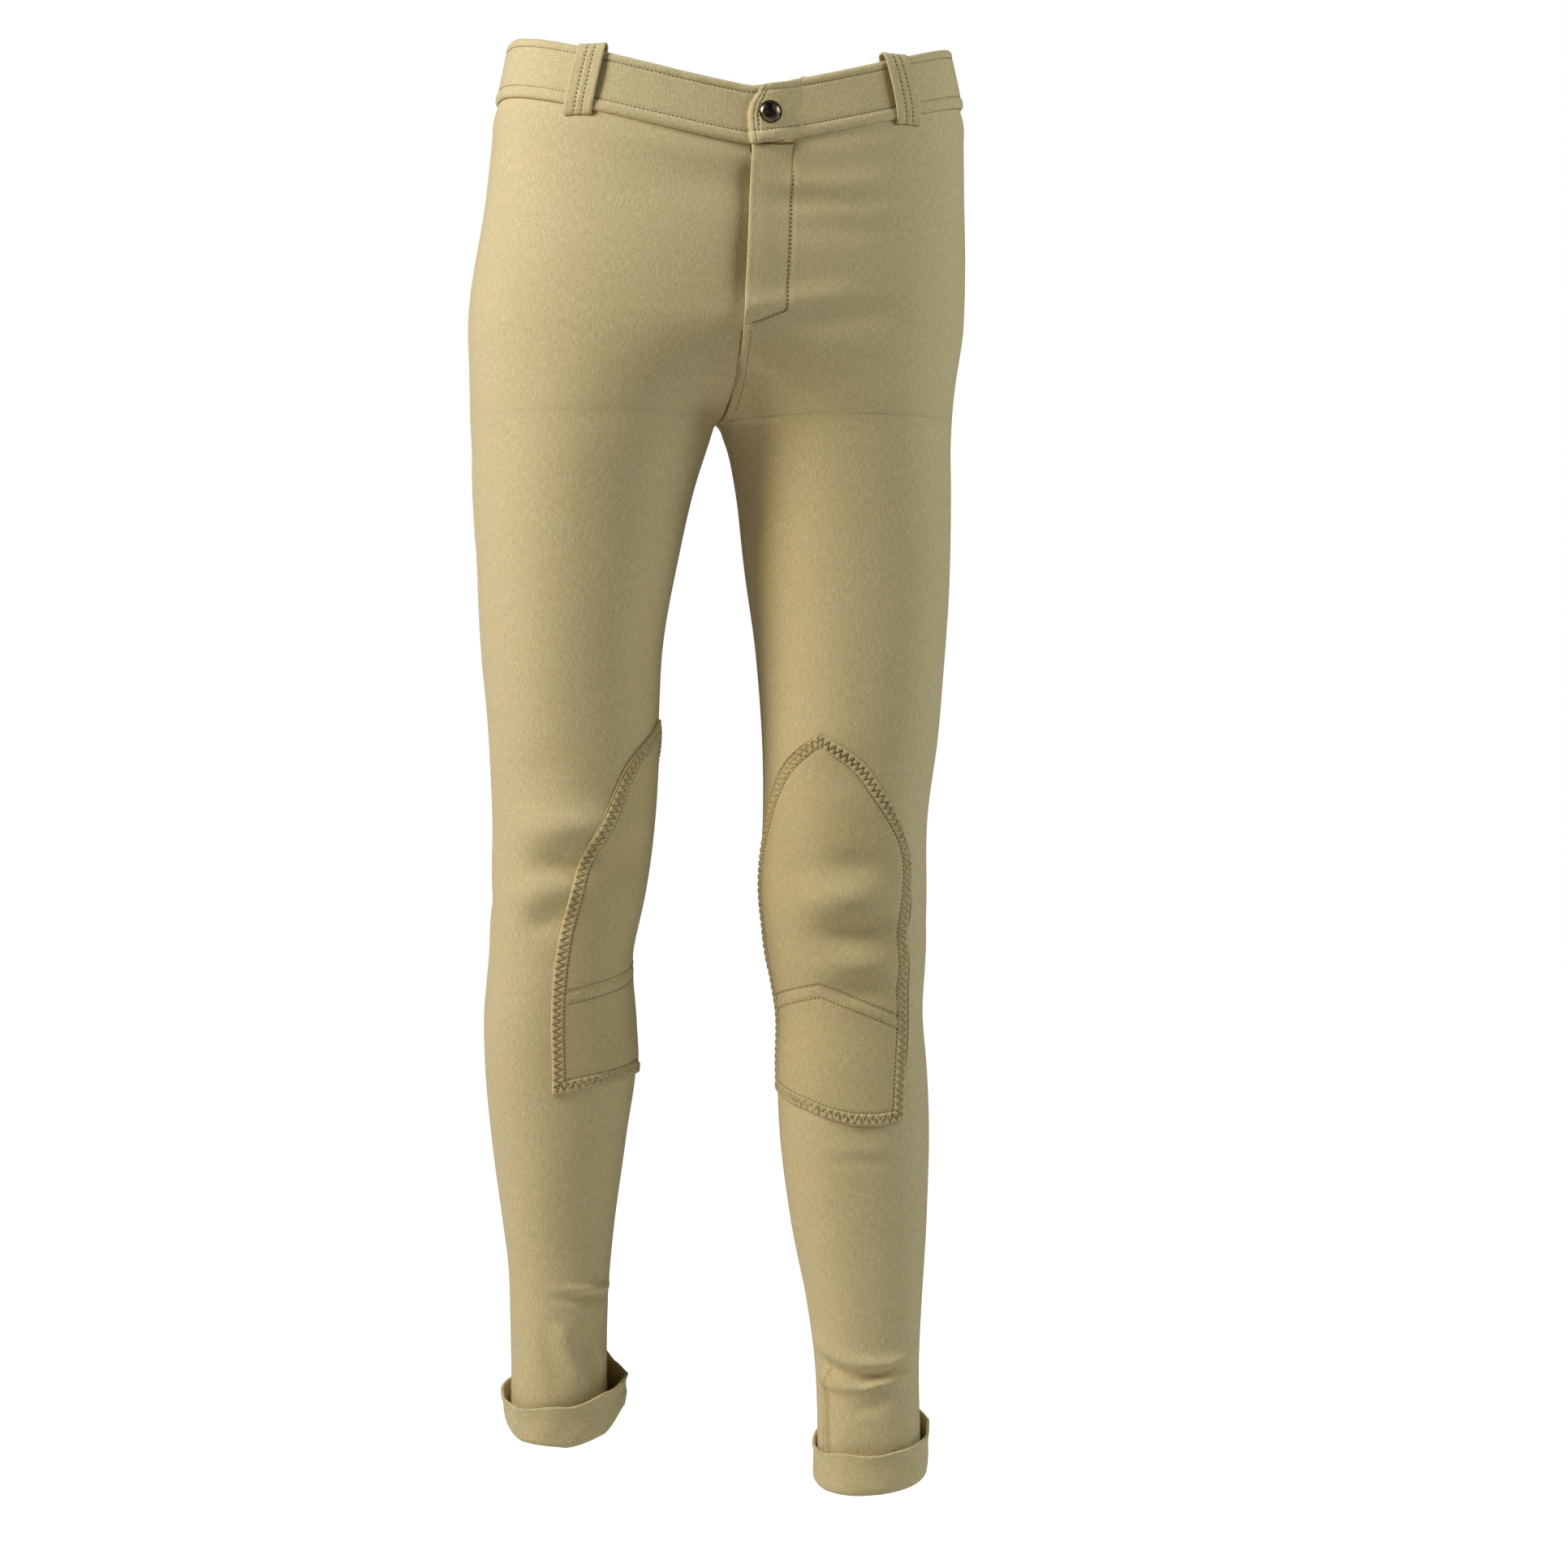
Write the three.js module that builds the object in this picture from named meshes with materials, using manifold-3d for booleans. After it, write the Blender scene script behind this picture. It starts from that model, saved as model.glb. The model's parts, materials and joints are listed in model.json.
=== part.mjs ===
// Stretch riding jodhpurs in their worn shape: waistband with a snap tab, zip fly, belt loops,
// four trouser panels, inner-knee patches and turned-up ankle cuffs. Units are millimetres, +Z is up,
// the front faces -Y and the wearer's left is +X. The origin is the middle of the waist opening,
// level with the top of the band at the side seams.
import * as THREE from 'three';
import { mergeVertices } from 'three/addons/utils/BufferGeometryUtils.js';
import Module from 'manifold-3d';

const wasm = await Module();
wasm.setup();

// ---------------------------------------------------------------- driving dimensions
const CLOTH = 1.2;              // thickness of one layer of the knit
const GAP = 0.3;                // clearance between touching pieces
const BAND_HEIGHT = 40;         // waistband, top edge to bottom seam
const FRONT_DIP = 39;           // how far the top edge falls from the side seam to the fly
const BACK_DIP = 12;            // the same at the back
const FLY_WIDTH = 28.4;         // free edge to J-stitch
const FLY_CORNER = -190;        // height where the J-stitch turns
const FLY_END = -201;           // height where it meets the centre seam
const TAB_FOLD = 33;            // sideways place of the fold that the snap tab opens on
const UNDERLAP = 22;            // sideways end of the band's right end, under the tab
const OUTSEAM = 92;             // side seam, degrees round from the front
const KNEE_TOP = -500;          // the knee zone, which wrinkles when the leg bends
const KNEE_BOTTOM = -670;
const LOOP_WIDTH = 19;          // belt loop
const ZIP_TOP = -81;            // zip, closed slider's top
const ZIP_LENGTH = 106;
const ZIP_ASIDE = 7;            // zip's middle, inwards of the flap's free edge
const ZIP_DEPTH = 1.5;          // how far the zip sits behind the front surface
const SNAP = { x: 11, z: -58, cap: 8.5, socket: 5.5 };

// Sections of the trunk: height, middle x, half width, front reach, back reach.
const TRUNK = [
  [20, 1, 147, 92, 86], [-50, 1, 161, 100, 96], [-110, -2, 165.5, 106, 112],
  [-185, -7.5, 171, 108, 121], [-250, -9.5, 168.5, 102, 114], [-340, -10, 158, 94, 104],
];
// Sections of each leg: height, middle x, middle y, half width, half depth.
const LEGS = {
  right: [
    [-150, -86, 8, 85, 106], [-250, -92, 9, 85, 98], [-262, -93.3, 9, 83.2, 96],
    [-275, -95, 9, 80.6, 94], [-300, -98.8, 10, 76.3, 90],
    [-360, -104, 11, 68, 82], [-415, -107, 12, 61.8, 75], [-470, -106, 13, 58, 69],
    [-530, -106, 15, 54.7, 63], [-580, -109.4, 17, 51.8, 58], [-625, -114, 22, 48.5, 55],
    [-670, -114, 28, 51.5, 55], [-700, -112.5, 32, 52, 54], [-750, -112.5, 39, 46.5, 51],
    [-810, -112, 46, 38.7, 45], [-840, -111, 49, 35.4, 42], [-890, -110.7, 53, 33.3, 39],
    [-960, -110, 57, 33.5, 38],
  ],
  left: [
    [-150, 71, 8, 84, 106], [-250, 75.5, 7, 80.5, 98], [-262, 76.9, 7, 78.7, 96],
    [-275, 78.7, 6, 76.3, 94], [-300, 81.2, 4, 74, 90],
    [-360, 83.3, -1, 70, 82], [-415, 84.5, -6, 64.8, 75], [-470, 83.8, -9, 60.2, 69],
    [-530, 80, -10, 56.3, 63], [-580, 79.3, -8, 57, 59], [-625, 82.5, -4, 54, 56],
    [-665, 86, 0, 49.6, 55], [-700, 86.7, -2, 51.2, 54], [-750, 87.6, -6, 51.4, 51],
    [-805, 89.9, -10, 47, 46], [-860, 92.7, -14, 39.8, 42], [-900, 94.2, -17, 36, 39],
    [-990, 95.5, -21, 35, 38],
  ],
};
const SIDE = { right: -1, left: 1 };
const LEG_POWER = 2.15;         // superellipse powers of the sections
const TRUNK_POWER = 2.4;
const MERGE_LOW = -262;         // the legs merge into the trunk between these heights
const MERGE_TOP = -190;
const CENTRE = [[20, 5], [-190, -6.5], [-255, -6]];   // the centre seam's x by height
const INSEAM = {                // inner leg seam, degrees round from the front, by height
  right: [[-200, -89], [-262, -89], [-400, -95], [-1000, -97]],
  left: [[-200, -89], [-262, -89], [-400, -94], [-840, -92], [-900, -72], [-1000, -74]],
};

// ---------------------------------------------------------------- colours
const CREAM = 0xc9b98d;
const SHADE = 0xb3a379;
function cloth(color) {
  return new THREE.MeshStandardMaterial({ color, roughness: 0.9, metalness: 0 });
}
function metal(color) {
  return new THREE.MeshStandardMaterial({ color, roughness: 0.35, metalness: 0.9 });
}

// ---------------------------------------------------------------- small maths
const rad = THREE.MathUtils.degToRad;
const lerp = THREE.MathUtils.lerp;
function smooth(q) {
  const t = Math.min(1, Math.max(0, q));
  return t * t * (3 - 2 * t);
}
// Reads one row of values off stations that run downwards, on cubic pieces.
function along(stations, height) {
  const last = stations.length - 1;
  const z = Math.min(stations[0][0], Math.max(stations[last][0], height));
  const slope = (i, k) => (stations[i + 1][k] - stations[i][k]) / (stations[i + 1][0] - stations[i][0]);
  const step = (i) => stations[i + 1][0] - stations[i][0];
  const tangent = (i, k) => {
    if (i === 0) return slope(0, k);
    if (i === last) return slope(last - 1, k);
    return (slope(i - 1, k) * step(i) + slope(i, k) * step(i - 1)) / (step(i) + step(i - 1));
  };
  let i = 0;
  while (i < last - 1 && z < stations[i + 1][0]) i += 1;
  const t = (z - stations[i][0]) / step(i);
  const t2 = t * t;
  const t3 = t2 * t;
  return stations[i].slice(1).map((value, j) => {
    const k = j + 1;
    return (2 * t3 - 3 * t2 + 1) * value + (t3 - 2 * t2 + t) * tangent(i, k) * step(i)
      + (3 * t2 - 2 * t3) * stations[i + 1][k] + (t3 - t2) * tangent(i + 1, k) * step(i);
  });
}
// Straight lines between [key, value] pairs, whichever way the keys run.
function between(pairs, key) {
  const rising = pairs[0][0] < pairs[pairs.length - 1][0] ? pairs : [...pairs].reverse();
  if (key <= rising[0][0]) return rising[0][1];
  for (let i = 1; i < rising.length; i += 1) {
    const [k0, v0] = rising[i - 1];
    const [k1, v1] = rising[i];
    if (key <= k1) return lerp(v0, v1, (key - k0) / (k1 - k0));
  }
  return rising[rising.length - 1][1];
}
function steps(from, to, count) {
  return Array.from({ length: count + 1 }, (_, i) => lerp(from, to, i / count));
}
const centreX = (z) => between(CENTRE, z);

// ---------------------------------------------------------------- the body surface
function insideTrunk([middle, half, front, back], x, y) {
  const reach = y < 0 ? front : back;
  return Math.abs((x - middle) / half) ** TRUNK_POWER + Math.abs(y / reach) ** TRUNK_POWER < 1;
}
// How far a ray from (x, y) runs before it leaves the trunk section.
function trunkReach(section, x, y, dx, dy) {
  let low = 0;
  let high = 420;
  for (let i = 0; i < 26; i += 1) {
    const mid = (low + high) / 2;
    if (insideTrunk(section, x + mid * dx, y + mid * dy)) low = mid;
    else high = mid;
  }
  return low;
}
// Trousers' outer surface: phi is in degrees round the leg from the front towards the outer side.
function legPoint(side, phi, z) {
  const [cx, cy, half, depth] = along(LEGS[side], z);
  const dx = SIDE[side] * Math.sin(rad(phi));
  const dy = -Math.cos(rad(phi));
  const own = (Math.abs(dx / half) ** LEG_POWER + Math.abs(dy / depth) ** LEG_POWER) ** (-1 / LEG_POWER);
  const merged = smooth((z - MERGE_LOW) / (MERGE_TOP - MERGE_LOW));
  let reach = own;
  if (merged > 0) reach = lerp(own, trunkReach(along(TRUNK, z), cx, cy, dx, dy), merged);
  return new THREE.Vector3(cx + reach * dx, cy + reach * dy, z);
}
// The same surface above the legs, by plan angle psi about the trunk's middle, 90 at the left hip.
function trunkPoint(psi, z) {
  const section = along(TRUNK, z);
  const dx = Math.sin(rad(psi));
  const dy = -Math.cos(rad(psi));
  const reach = trunkReach(section, section[0], 0, dx, dy);
  return new THREE.Vector3(section[0] + reach * dx, reach * dy, z);
}
// Front surface at a sideways place.
function frontPoint(x, z) {
  const [middle, half, front] = along(TRUNK, z);
  const share = 1 - Math.abs((x - middle) / half) ** TRUNK_POWER;
  return new THREE.Vector3(x, -front * share ** (1 / TRUNK_POWER), z);
}
// Moves a surface point outwards by h along the surface's own normal.
function raised(surface, a, z, h, outward) {
  const point = surface(a, z);
  const across = surface(a + 0.5, z).sub(surface(a - 0.5, z));
  const down = surface(a, z + 0.5).sub(surface(a, z - 0.5));
  const normal = across.cross(down).normalize();
  if (normal.dot(outward(point)) < 0) normal.negate();
  return point.addScaledVector(normal, h);
}
function legAt(side, phi, z, h) {
  const [cx, cy] = along(LEGS[side], z);
  return raised((a, b) => legPoint(side, a, b), phi, z, h, (p) => new THREE.Vector3(p.x - cx, p.y - cy, 0));
}
function trunkAt(psi, z, h) {
  return raised(trunkPoint, psi, z, h, (p) => new THREE.Vector3(p.x, p.y, 0));
}
function frontAt(x, z, h) {
  return raised(frontPoint, x, z, h, () => new THREE.Vector3(0, -1, 0));
}
// Height of the band's top edge: it dips in an arc to the fly, and a little at the back.
function bandTop(psi) {
  const p = trunkPoint(psi, -20);
  const share = Math.min(1, Math.abs(p.x - 1) / 155);
  if (p.y < 0) return -FRONT_DIP * (1 - share ** 1.2);
  return -BACK_DIP * (1 - share ** 1.5);
}
function bandAt(psi, down, h) {
  return trunkAt(psi, bandTop(psi) - down, h);
}
function frontBandTop(x) {
  return -FRONT_DIP * (1 - (Math.abs(x - 1) / 155) ** 1.2);
}
// Plan angle of a front or back point at a sideways place.
function planAngle(x, z, back = false) {
  const front = frontPoint(x, z);
  const [middle, , reach, rear] = along(TRUNK, z);
  const y = back ? (-front.y / reach) * rear : front.y;
  return THREE.MathUtils.radToDeg(Math.atan2(x - middle, -y));
}
// Angle where a leg's section meets the plane x = wall, or the inseam if it doesn't reach it.
function endAngle(side, z, wall, back) {
  const seam = between(INSEAM[side], z);
  const finish = back ? 360 + seam : seam;
  const start = back ? 180 : 0;
  const crosses = (a) => (legPoint(side, a, z).x - wall) * SIDE[side] < 0;
  const tries = steps(start, finish, 48);
  const hit = tries.findIndex(crosses);
  if (hit < 1) return finish;
  let low = tries[hit - 1];
  let high = tries[hit];
  for (let i = 0; i < 24; i += 1) {
    const mid = (low + high) / 2;
    if (crosses(mid)) high = mid;
    else low = mid;
  }
  return low;
}

// ---------------------------------------------------------------- solids from grids of points
function solid(triangles) {
  const flat = new Float32Array(triangles.flat().flatMap((p) => [p.x, p.y, p.z]));
  let volume = 0;
  triangles.forEach(([a, b, c]) => {
    volume += a.dot(b.clone().cross(c));
  });
  if (volume < 0) {
    for (let i = 0; i < flat.length; i += 9) {
      for (let k = 0; k < 3; k += 1) {
        [flat[i + 3 + k], flat[i + 6 + k]] = [flat[i + 6 + k], flat[i + 3 + k]];
      }
    }
  }
  const geometry = new THREE.BufferGeometry();
  geometry.setAttribute('position', new THREE.BufferAttribute(flat, 3));
  return mergeVertices(geometry, 1e-4);
}
// A closed skin between two grids of the same size: outer[row][column] and inner[row][column].
// A ring's columns close on themselves.
function skin(outer, inner, ring = false) {
  const triangles = [];
  const quad = (a, b, c, d) => triangles.push([a, b, c], [a, c, d]);
  const rows = outer.length;
  const columns = outer[0].length;
  const spans = ring ? columns : columns - 1;
  for (let i = 0; i < rows - 1; i += 1) {
    for (let j = 0; j < spans; j += 1) {
      const k = (j + 1) % columns;
      quad(outer[i][j], outer[i][k], outer[i + 1][k], outer[i + 1][j]);
      quad(inner[i][j], inner[i + 1][j], inner[i + 1][k], inner[i][k]);
    }
    if (!ring) {
      quad(outer[i][0], outer[i + 1][0], inner[i + 1][0], inner[i][0]);
      const e = columns - 1;
      quad(outer[i][e], inner[i][e], inner[i + 1][e], outer[i + 1][e]);
    }
  }
  for (let j = 0; j < spans; j += 1) {
    const k = (j + 1) % columns;
    quad(outer[0][j], inner[0][j], inner[0][k], outer[0][k]);
    const e = rows - 1;
    quad(outer[e][j], outer[e][k], inner[e][k], inner[e][j]);
  }
  return solid(triangles);
}
// Fills both grids from a function of row, column and which face (0 outer, 1 inner).
function sheet(rows, columns, place, ring = false) {
  const grid = (face) => rows.map((r) => columns.map((c) => place(r, c, face)));
  return skin(grid(0), grid(1), ring);
}
function toManifold(geometry) {
  const bare = new THREE.BufferGeometry();
  bare.setAttribute('position', geometry.getAttribute('position'));
  if (geometry.index) bare.setIndex(geometry.index);
  const merged = mergeVertices(bare, 1e-5);
  return new wasm.Manifold(new wasm.Mesh({
    numProp: 3,
    vertProperties: new Float32Array(merged.getAttribute('position').array),
    triVerts: new Uint32Array(merged.index.array),
  }));
}
function fromManifold(manifold) {
  const mesh = manifold.getMesh();
  const geometry = new THREE.BufferGeometry();
  geometry.setAttribute('position', new THREE.BufferAttribute(new Float32Array(mesh.vertProperties), 3));
  geometry.setIndex(new THREE.BufferAttribute(new Uint32Array(mesh.triVerts), 1));
  return geometry;
}
function joined(first, ...others) {
  return fromManifold(others.reduce((sum, g) => sum.add(toManifold(g)), toManifold(first)));
}

const group = new THREE.Group();
function add(name, geometry, material) {
  const mesh = new THREE.Mesh(geometry, material);
  mesh.name = name;
  group.add(mesh);
  return mesh;
}

// ---------------------------------------------------------------- trouser panels
const SEAM_HALF = 0.25;         // half of a seam's gap, in degrees
const CROTCH_ROWS = [FLY_END, -218, -230, -240, -247, -252, -255, -257, -260, -280, -320, -380, -440];
const SHIN_ROWS = [KNEE_BOTTOM, -685, -710, -750, -800, -850, -900];
const FOLD = { right: -952, left: -972 };   // where the panels end, inside the cuffs

function panelEdge(side, back, z) {
  if (back || z <= FLY_END) return centreX(z) + SIDE[side] * 0.2;
  if (side === 'right') return centreX(z) + 1.5;
  return z >= FLY_CORNER ? centreX(z) + FLY_WIDTH + GAP : centreX(z) + 0.2;
}
// Height of the panel's top edge, just under the band, at leg angle phi.
function panelTop(side, phi) {
  let z = -60;
  for (let i = 0; i < 5; i += 1) {
    const p = legPoint(side, phi, z);
    const psi = THREE.MathUtils.radToDeg(Math.atan2(p.x - 1, -p.y));
    z = bandTop(psi) - BAND_HEIGHT - 3 * GAP;
  }
  return z;
}
function panel(side, back, heights, slanted) {
  const shares = steps(0, 1, 8);
  const start = back ? OUTSEAM + SEAM_HALF : OUTSEAM - SEAM_HALF;
  const inset = back ? -SEAM_HALF : SEAM_HALF;
  const place = (row, share, face) => {
    const nominal = heights[row];
    const end = endAngle(side, nominal, panelEdge(side, back, nominal), back);
    const atSeam = end === between(INSEAM[side], nominal) + (back ? 360 : 0);
    const phi = lerp(start, atSeam ? end + inset : end, share);
    let z = nominal;
    if (slanted && row < slanted) z = lerp(panelTop(side, phi), heights[slanted], row / slanted);
    return legAt(side, phi, z, face ? -CLOTH : 0);
  };
  return sheet(heights.map((_, i) => i), shares, place);
}
for (const side of ['right', 'left']) {
  for (const face of ['front', 'back']) {
    const back = face === 'back';
    const upper = [-70, -110, -150, FLY_CORNER, ...CROTCH_ROWS, KNEE_TOP];
    add(`${side}_${face}_panel_thigh`, panel(side, back, upper, 3), cloth(back ? SHADE : CREAM));
    const knee = steps(KNEE_TOP - GAP, KNEE_BOTTOM + GAP, 6);
    add(`${side}_${face}_panel_knee`, panel(side, back, knee, 0), cloth(back ? SHADE : CREAM));
    const shin = [...SHIN_ROWS, FOLD[side]];
    add(`${side}_${face}_panel_shin`, panel(side, back, shin, 0), cloth(back ? SHADE : CREAM));
  }
}

// ---------------------------------------------------------------- waistband
// The band runs from its right end, under the tab, round the back to the tab's fold.
const LAYERS = { outer: [GAP, GAP + CLOTH], facing: [-CLOTH - GAP - CLOTH, -CLOTH - GAP] };
function band([low, high]) {
  const from = planAngle(UNDERLAP, -60);
  const to = planAngle(TAB_FOLD + 4 * GAP, -60) - 360;
  const middle = 15;            // the straight stretches at hips and back, in degrees each way
  const turns = [
    from, 2, -15, -32, -48, -62, -76, -90 - middle / 3, -108, -126, -144, -160,
    -180 + middle / 3, -180 - middle / 3, -200, -216, -234, -252, -270 + middle / 3,
    -284, -298, -312, -328, to,
  ];
  return sheet([0, 0.5, 1], turns, (t, psi, face) => bandAt(psi, t * BAND_HEIGHT, face ? low : high));
}
add('waistband_outer', band(LAYERS.outer), cloth(CREAM));
add('waistband_facing', band(LAYERS.facing), cloth(SHADE));

// The tab's two layers: [distance from the fold, height of the inner face].
const TAB_OUTER = [[0, 0.3], [6, 1.2], [12, 4.4], [16, 5.1], [28, 5.1], [30, 4.4], [33.5, 3.4]];
const TAB_FACING = [[0, -2.7], [6, -0.9], [12, 2.9], [16, 3.7], [28, 3.7], [30, 3.0], [33.5, 2.0]];
// The free end's sideways place, by share of the band's height: its upper corner is cut away.
const TAB_END = [[0, 8.5], [0.15, 4], [0.35, -0.8], [0.5, -2], [0.75, -1.6], [1, 0]];
function tab(profile, thick) {
  const shares = [0, 0.18, 0.36, 0.5, 0.8, 0.9, 1];
  return sheet([0.012, 0.15, 0.35, 0.5, 0.75, 0.988], shares, (t, share, face) => {
    const x = lerp(TAB_FOLD, between(TAB_END, t), share);
    const h = between(profile, TAB_FOLD - x) + (face ? 0 : thick);
    return frontAt(x, frontBandTop(x) - t * BAND_HEIGHT, h);
  });
}
add('waist_tab_outer', tab(TAB_OUTER, 1.0), cloth(CREAM));
add('waist_tab_facing', tab(TAB_FACING, 1.0), cloth(SHADE));

// ---------------------------------------------------------------- snap fastener
// Each part is turned about the snap's own axis, which stands square to the band.
function onSnapAxis(mesh, h) {
  const base = frontAt(SNAP.x, SNAP.z, h);
  const out = frontAt(SNAP.x, SNAP.z, h + 1).sub(base);
  mesh.position.copy(base);
  mesh.quaternion.setFromUnitVectors(new THREE.Vector3(0, 1, 0), out.normalize());
}
function turned(profile, segments = 20) {
  return new THREE.LatheGeometry(profile.map(([r, y]) => new THREE.Vector2(r, y)), segments);
}
const capShape = [[0, 0], [8, 0], [SNAP.cap, 0.5], [8.2, 1.2], [6.6, 2.2], [3.8, 2.9], [0, 3.1]];
onSnapAxis(add('snap_cap', turned(capShape), metal(0x3a2f22)), 6.4);
const socketShape = [[2.1, 0], [SNAP.socket, 0], [SNAP.socket, 0.9], [2.1, 0.9], [2.1, 0]];
onSnapAxis(add('snap_socket', turned(socketShape, 16), metal(0x8a7a5a)), 2.5);
const studShape = [[0, 0], [5, 0], [5, 0.35], [1.8, 0.35], [1.8, 1.3], [0, 1.3]];
onSnapAxis(add('snap_stud', turned(studShape, 16), metal(0x8a7a5a)), 1.9);
const postShape = [[0, 0], [4.5, 0], [4.5, 0.9], [0, 0.9]];
onSnapAxis(add('snap_post', turned(postShape, 16), metal(0x8a7a5a)), -4.0);

// ---------------------------------------------------------------- belt loops
// Each strap folds over the band's top edge, stands clear of the band and turns under at its foot.
const LOOP_LINE = [      // distance below the top edge, height off the surface
  [9, -4.4], [-1.5, -4.4], [-3.6, -1.5], [-2.6, 2.4], [4, 4.2], [20, 4.9], [36, 4.2], [43, 2.2],
];
function beltLoop(topPsi, footPsi) {
  const line = LOOP_LINE.map(([d, h]) => new THREE.Vector2(d, h));
  const offset = line.map((p, i) => {
    const before = line[Math.max(0, i - 1)];
    const after = line[Math.min(line.length - 1, i + 1)];
    const t = after.clone().sub(before).normalize();
    return new THREE.Vector2(p.x - t.y * CLOTH, p.y + t.x * CLOTH);
  });
  const across = [-LOOP_WIDTH / 2, 0, LOOP_WIDTH / 2];
  return sheet(line.map((_, i) => i), across, (i, aside, face) => {
    const p = face ? line[i] : offset[i];
    const psi = lerp(topPsi, footPsi, p.x / BAND_HEIGHT);
    const width = trunkPoint(psi, -40).setZ(0).length();
    return bandAt(psi + THREE.MathUtils.radToDeg(aside / width), p.x, p.y);
  });
}
const LOOPS = {
  belt_loop_front_right: [planAngle(-106, -26), planAngle(-115, -65)],
  belt_loop_front_left: [planAngle(101, -20), planAngle(109, -60)],
  belt_loop_back_right: [-138, -138],
  belt_loop_back_centre: [180, 180],
  belt_loop_back_left: [138, 138],
};
for (const [name, [top, foot]] of Object.entries(LOOPS)) {
  add(name, beltLoop(top, foot), cloth(CREAM));
}
// Blank sewn-in label inside the back of the band.
const labelPlace = (down, psi, face) => bandAt(psi, down, face ? -5.6 : -4.9);
add('care_label', sheet([10, 34], [158, 163, 168], labelPlace), cloth(0xe8e4da));

// ---------------------------------------------------------------- fly
// The flap's under face rises from the panel at the J-stitch to clear the zip at its free edge.
function flapLift(fromStitch) {
  return lerp(-CLOTH, 1.4, smooth(fromStitch / 12));
}
function flyStrip(edges, place, thick) {
  return sheet([0, 0.25, 0.5, 0.75, 1], edges, (t, share, face) => {
    const aside = share * FLY_WIDTH;
    const top = frontBandTop(0) - BAND_HEIGHT - 1.2;
    const bottom = lerp(FLY_END + GAP * 2, FLY_CORNER + GAP, share);
    const z = lerp(top, bottom, t);
    return frontAt(centreX(z) + aside, z, place(FLY_WIDTH - aside) + (face ? 0 : thick));
  });
}
add('fly_flap', flyStrip([1, 0.85, 0.7, 0.58, 0.3, 0], flapLift, CLOTH), cloth(CREAM));
add('fly_facing', flyStrip([0.5, 0.25, 0.02], () => 0.4, 0.7), cloth(SHADE));

// The zip lies straight, so it has its own upright frame: x towards the wearer's right, y outwards, z up.
const zipTop = frontPoint(centreX(ZIP_TOP) + ZIP_ASIDE, ZIP_TOP);
const zipFoot = frontPoint(centreX(-187) + ZIP_ASIDE, -187);
const zipUp = zipTop.clone().sub(zipFoot).normalize();
const zipAcross = new THREE.Vector3(0, -1, 0).cross(zipUp).normalize();
const zipOut = zipUp.clone().cross(zipAcross).normalize();
const zipFrame = new THREE.Group();
zipFrame.position.copy(zipTop).addScaledVector(zipOut, -ZIP_DEPTH);
zipFrame.quaternion.setFromRotationMatrix(new THREE.Matrix4().makeBasis(zipAcross, zipOut, zipUp));
group.add(zipFrame);
function block(x0, x1, y0, y1, z0, z1) {
  const box = new THREE.BoxGeometry(x1 - x0, y1 - y0, z1 - z0);
  return box.translate((x0 + x1) / 2, (y0 + y1) / 2, (z0 + z1) / 2);
}
function addToZip(name, geometry, material) {
  const mesh = add(name, geometry, material);
  zipFrame.add(mesh);
}
const TEETH = { near: 0.7, far: 2.4, low: -3.3, high: -1.7 };
addToZip('fly_shield', block(-15, 11, -7.6, -6.6, -ZIP_LENGTH - 2, 0), cloth(SHADE));
addToZip('zip_tape_right', block(0.7, 11, -4.3, -3.6, -ZIP_LENGTH, 0), cloth(0xb9aa80));
addToZip('zip_tape_left', block(-14, -0.7, -4.3, -3.6, -ZIP_LENGTH, 0), cloth(0xb9aa80));
const teethEnd = -ZIP_LENGTH + 6;
addToZip('zip_teeth_right', block(TEETH.near, TEETH.far, TEETH.low, TEETH.high, teethEnd, -1),
  metal(0x5b4630));
addToZip('zip_teeth_left', block(-TEETH.far, -TEETH.near, TEETH.low, TEETH.high, teethEnd, -1),
  metal(0x5b4630));
addToZip('zip_bottom_stop', block(-2.6, 2.6, TEETH.low, TEETH.high, teethEnd - 3, teethEnd - GAP),
  metal(0x6b5a3a));

// Slider: two plates joined by a wedge between the teeth, side flanges, and the arch for the pull.
const SLIDER = { wide: 4.2, top: -1.5, length: 9 };
function sliderBody() {
  const foot = SLIDER.top - SLIDER.length;
  const { wide, top } = SLIDER;
  const face = block(-wide, wide, -1.3, -0.7, foot, top);
  const rear = block(-wide + 0.6, wide - 0.6, -5.6, -4.8, foot, top);
  const wedge = block(-0.35, 0.35, -5, -1, top - 3, top - 0.4);
  const flanges = [1, -1].map((s) => {
    const a = Math.min(s * wide, s * (wide - 0.8));
    return block(a, a + 0.8, -3.2, -1, foot, top);
  });
  const arch = [
    block(-0.6, 0.6, -0.9, 1.2, top - 3.2, top - 2.2),
    block(-0.6, 0.6, -0.9, 1.2, top - 7.2, top - 6.2),
    block(-0.6, 0.6, 0.6, 1.2, top - 7.2, top - 2.2),
  ];
  return joined(face, rear, wedge, ...flanges, ...arch);
}
addToZip('zip_slider', sliderBody(), metal(0x6b5a3a));
const PULL_PIVOT = SLIDER.top - 4.6;
function pullTab() {
  const pin = new THREE.CylinderGeometry(0.4, 0.4, 3.8, 8).rotateZ(Math.PI / 2).translate(0, 0, PULL_PIVOT);
  const arms = [1, -1].map((s) => {
    const a = s > 0 ? 1 : -1.9;
    return block(a, a + 0.9, -0.35, 0.35, PULL_PIVOT - 5, PULL_PIVOT);
  });
  const plate = block(-2.4, 2.4, -0.35, 0.35, PULL_PIVOT - 18, PULL_PIVOT - 4);
  return joined(pin, ...arms, plate);
}
addToZip('zip_pull', pullTab(), metal(0x6b5a3a));

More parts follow.
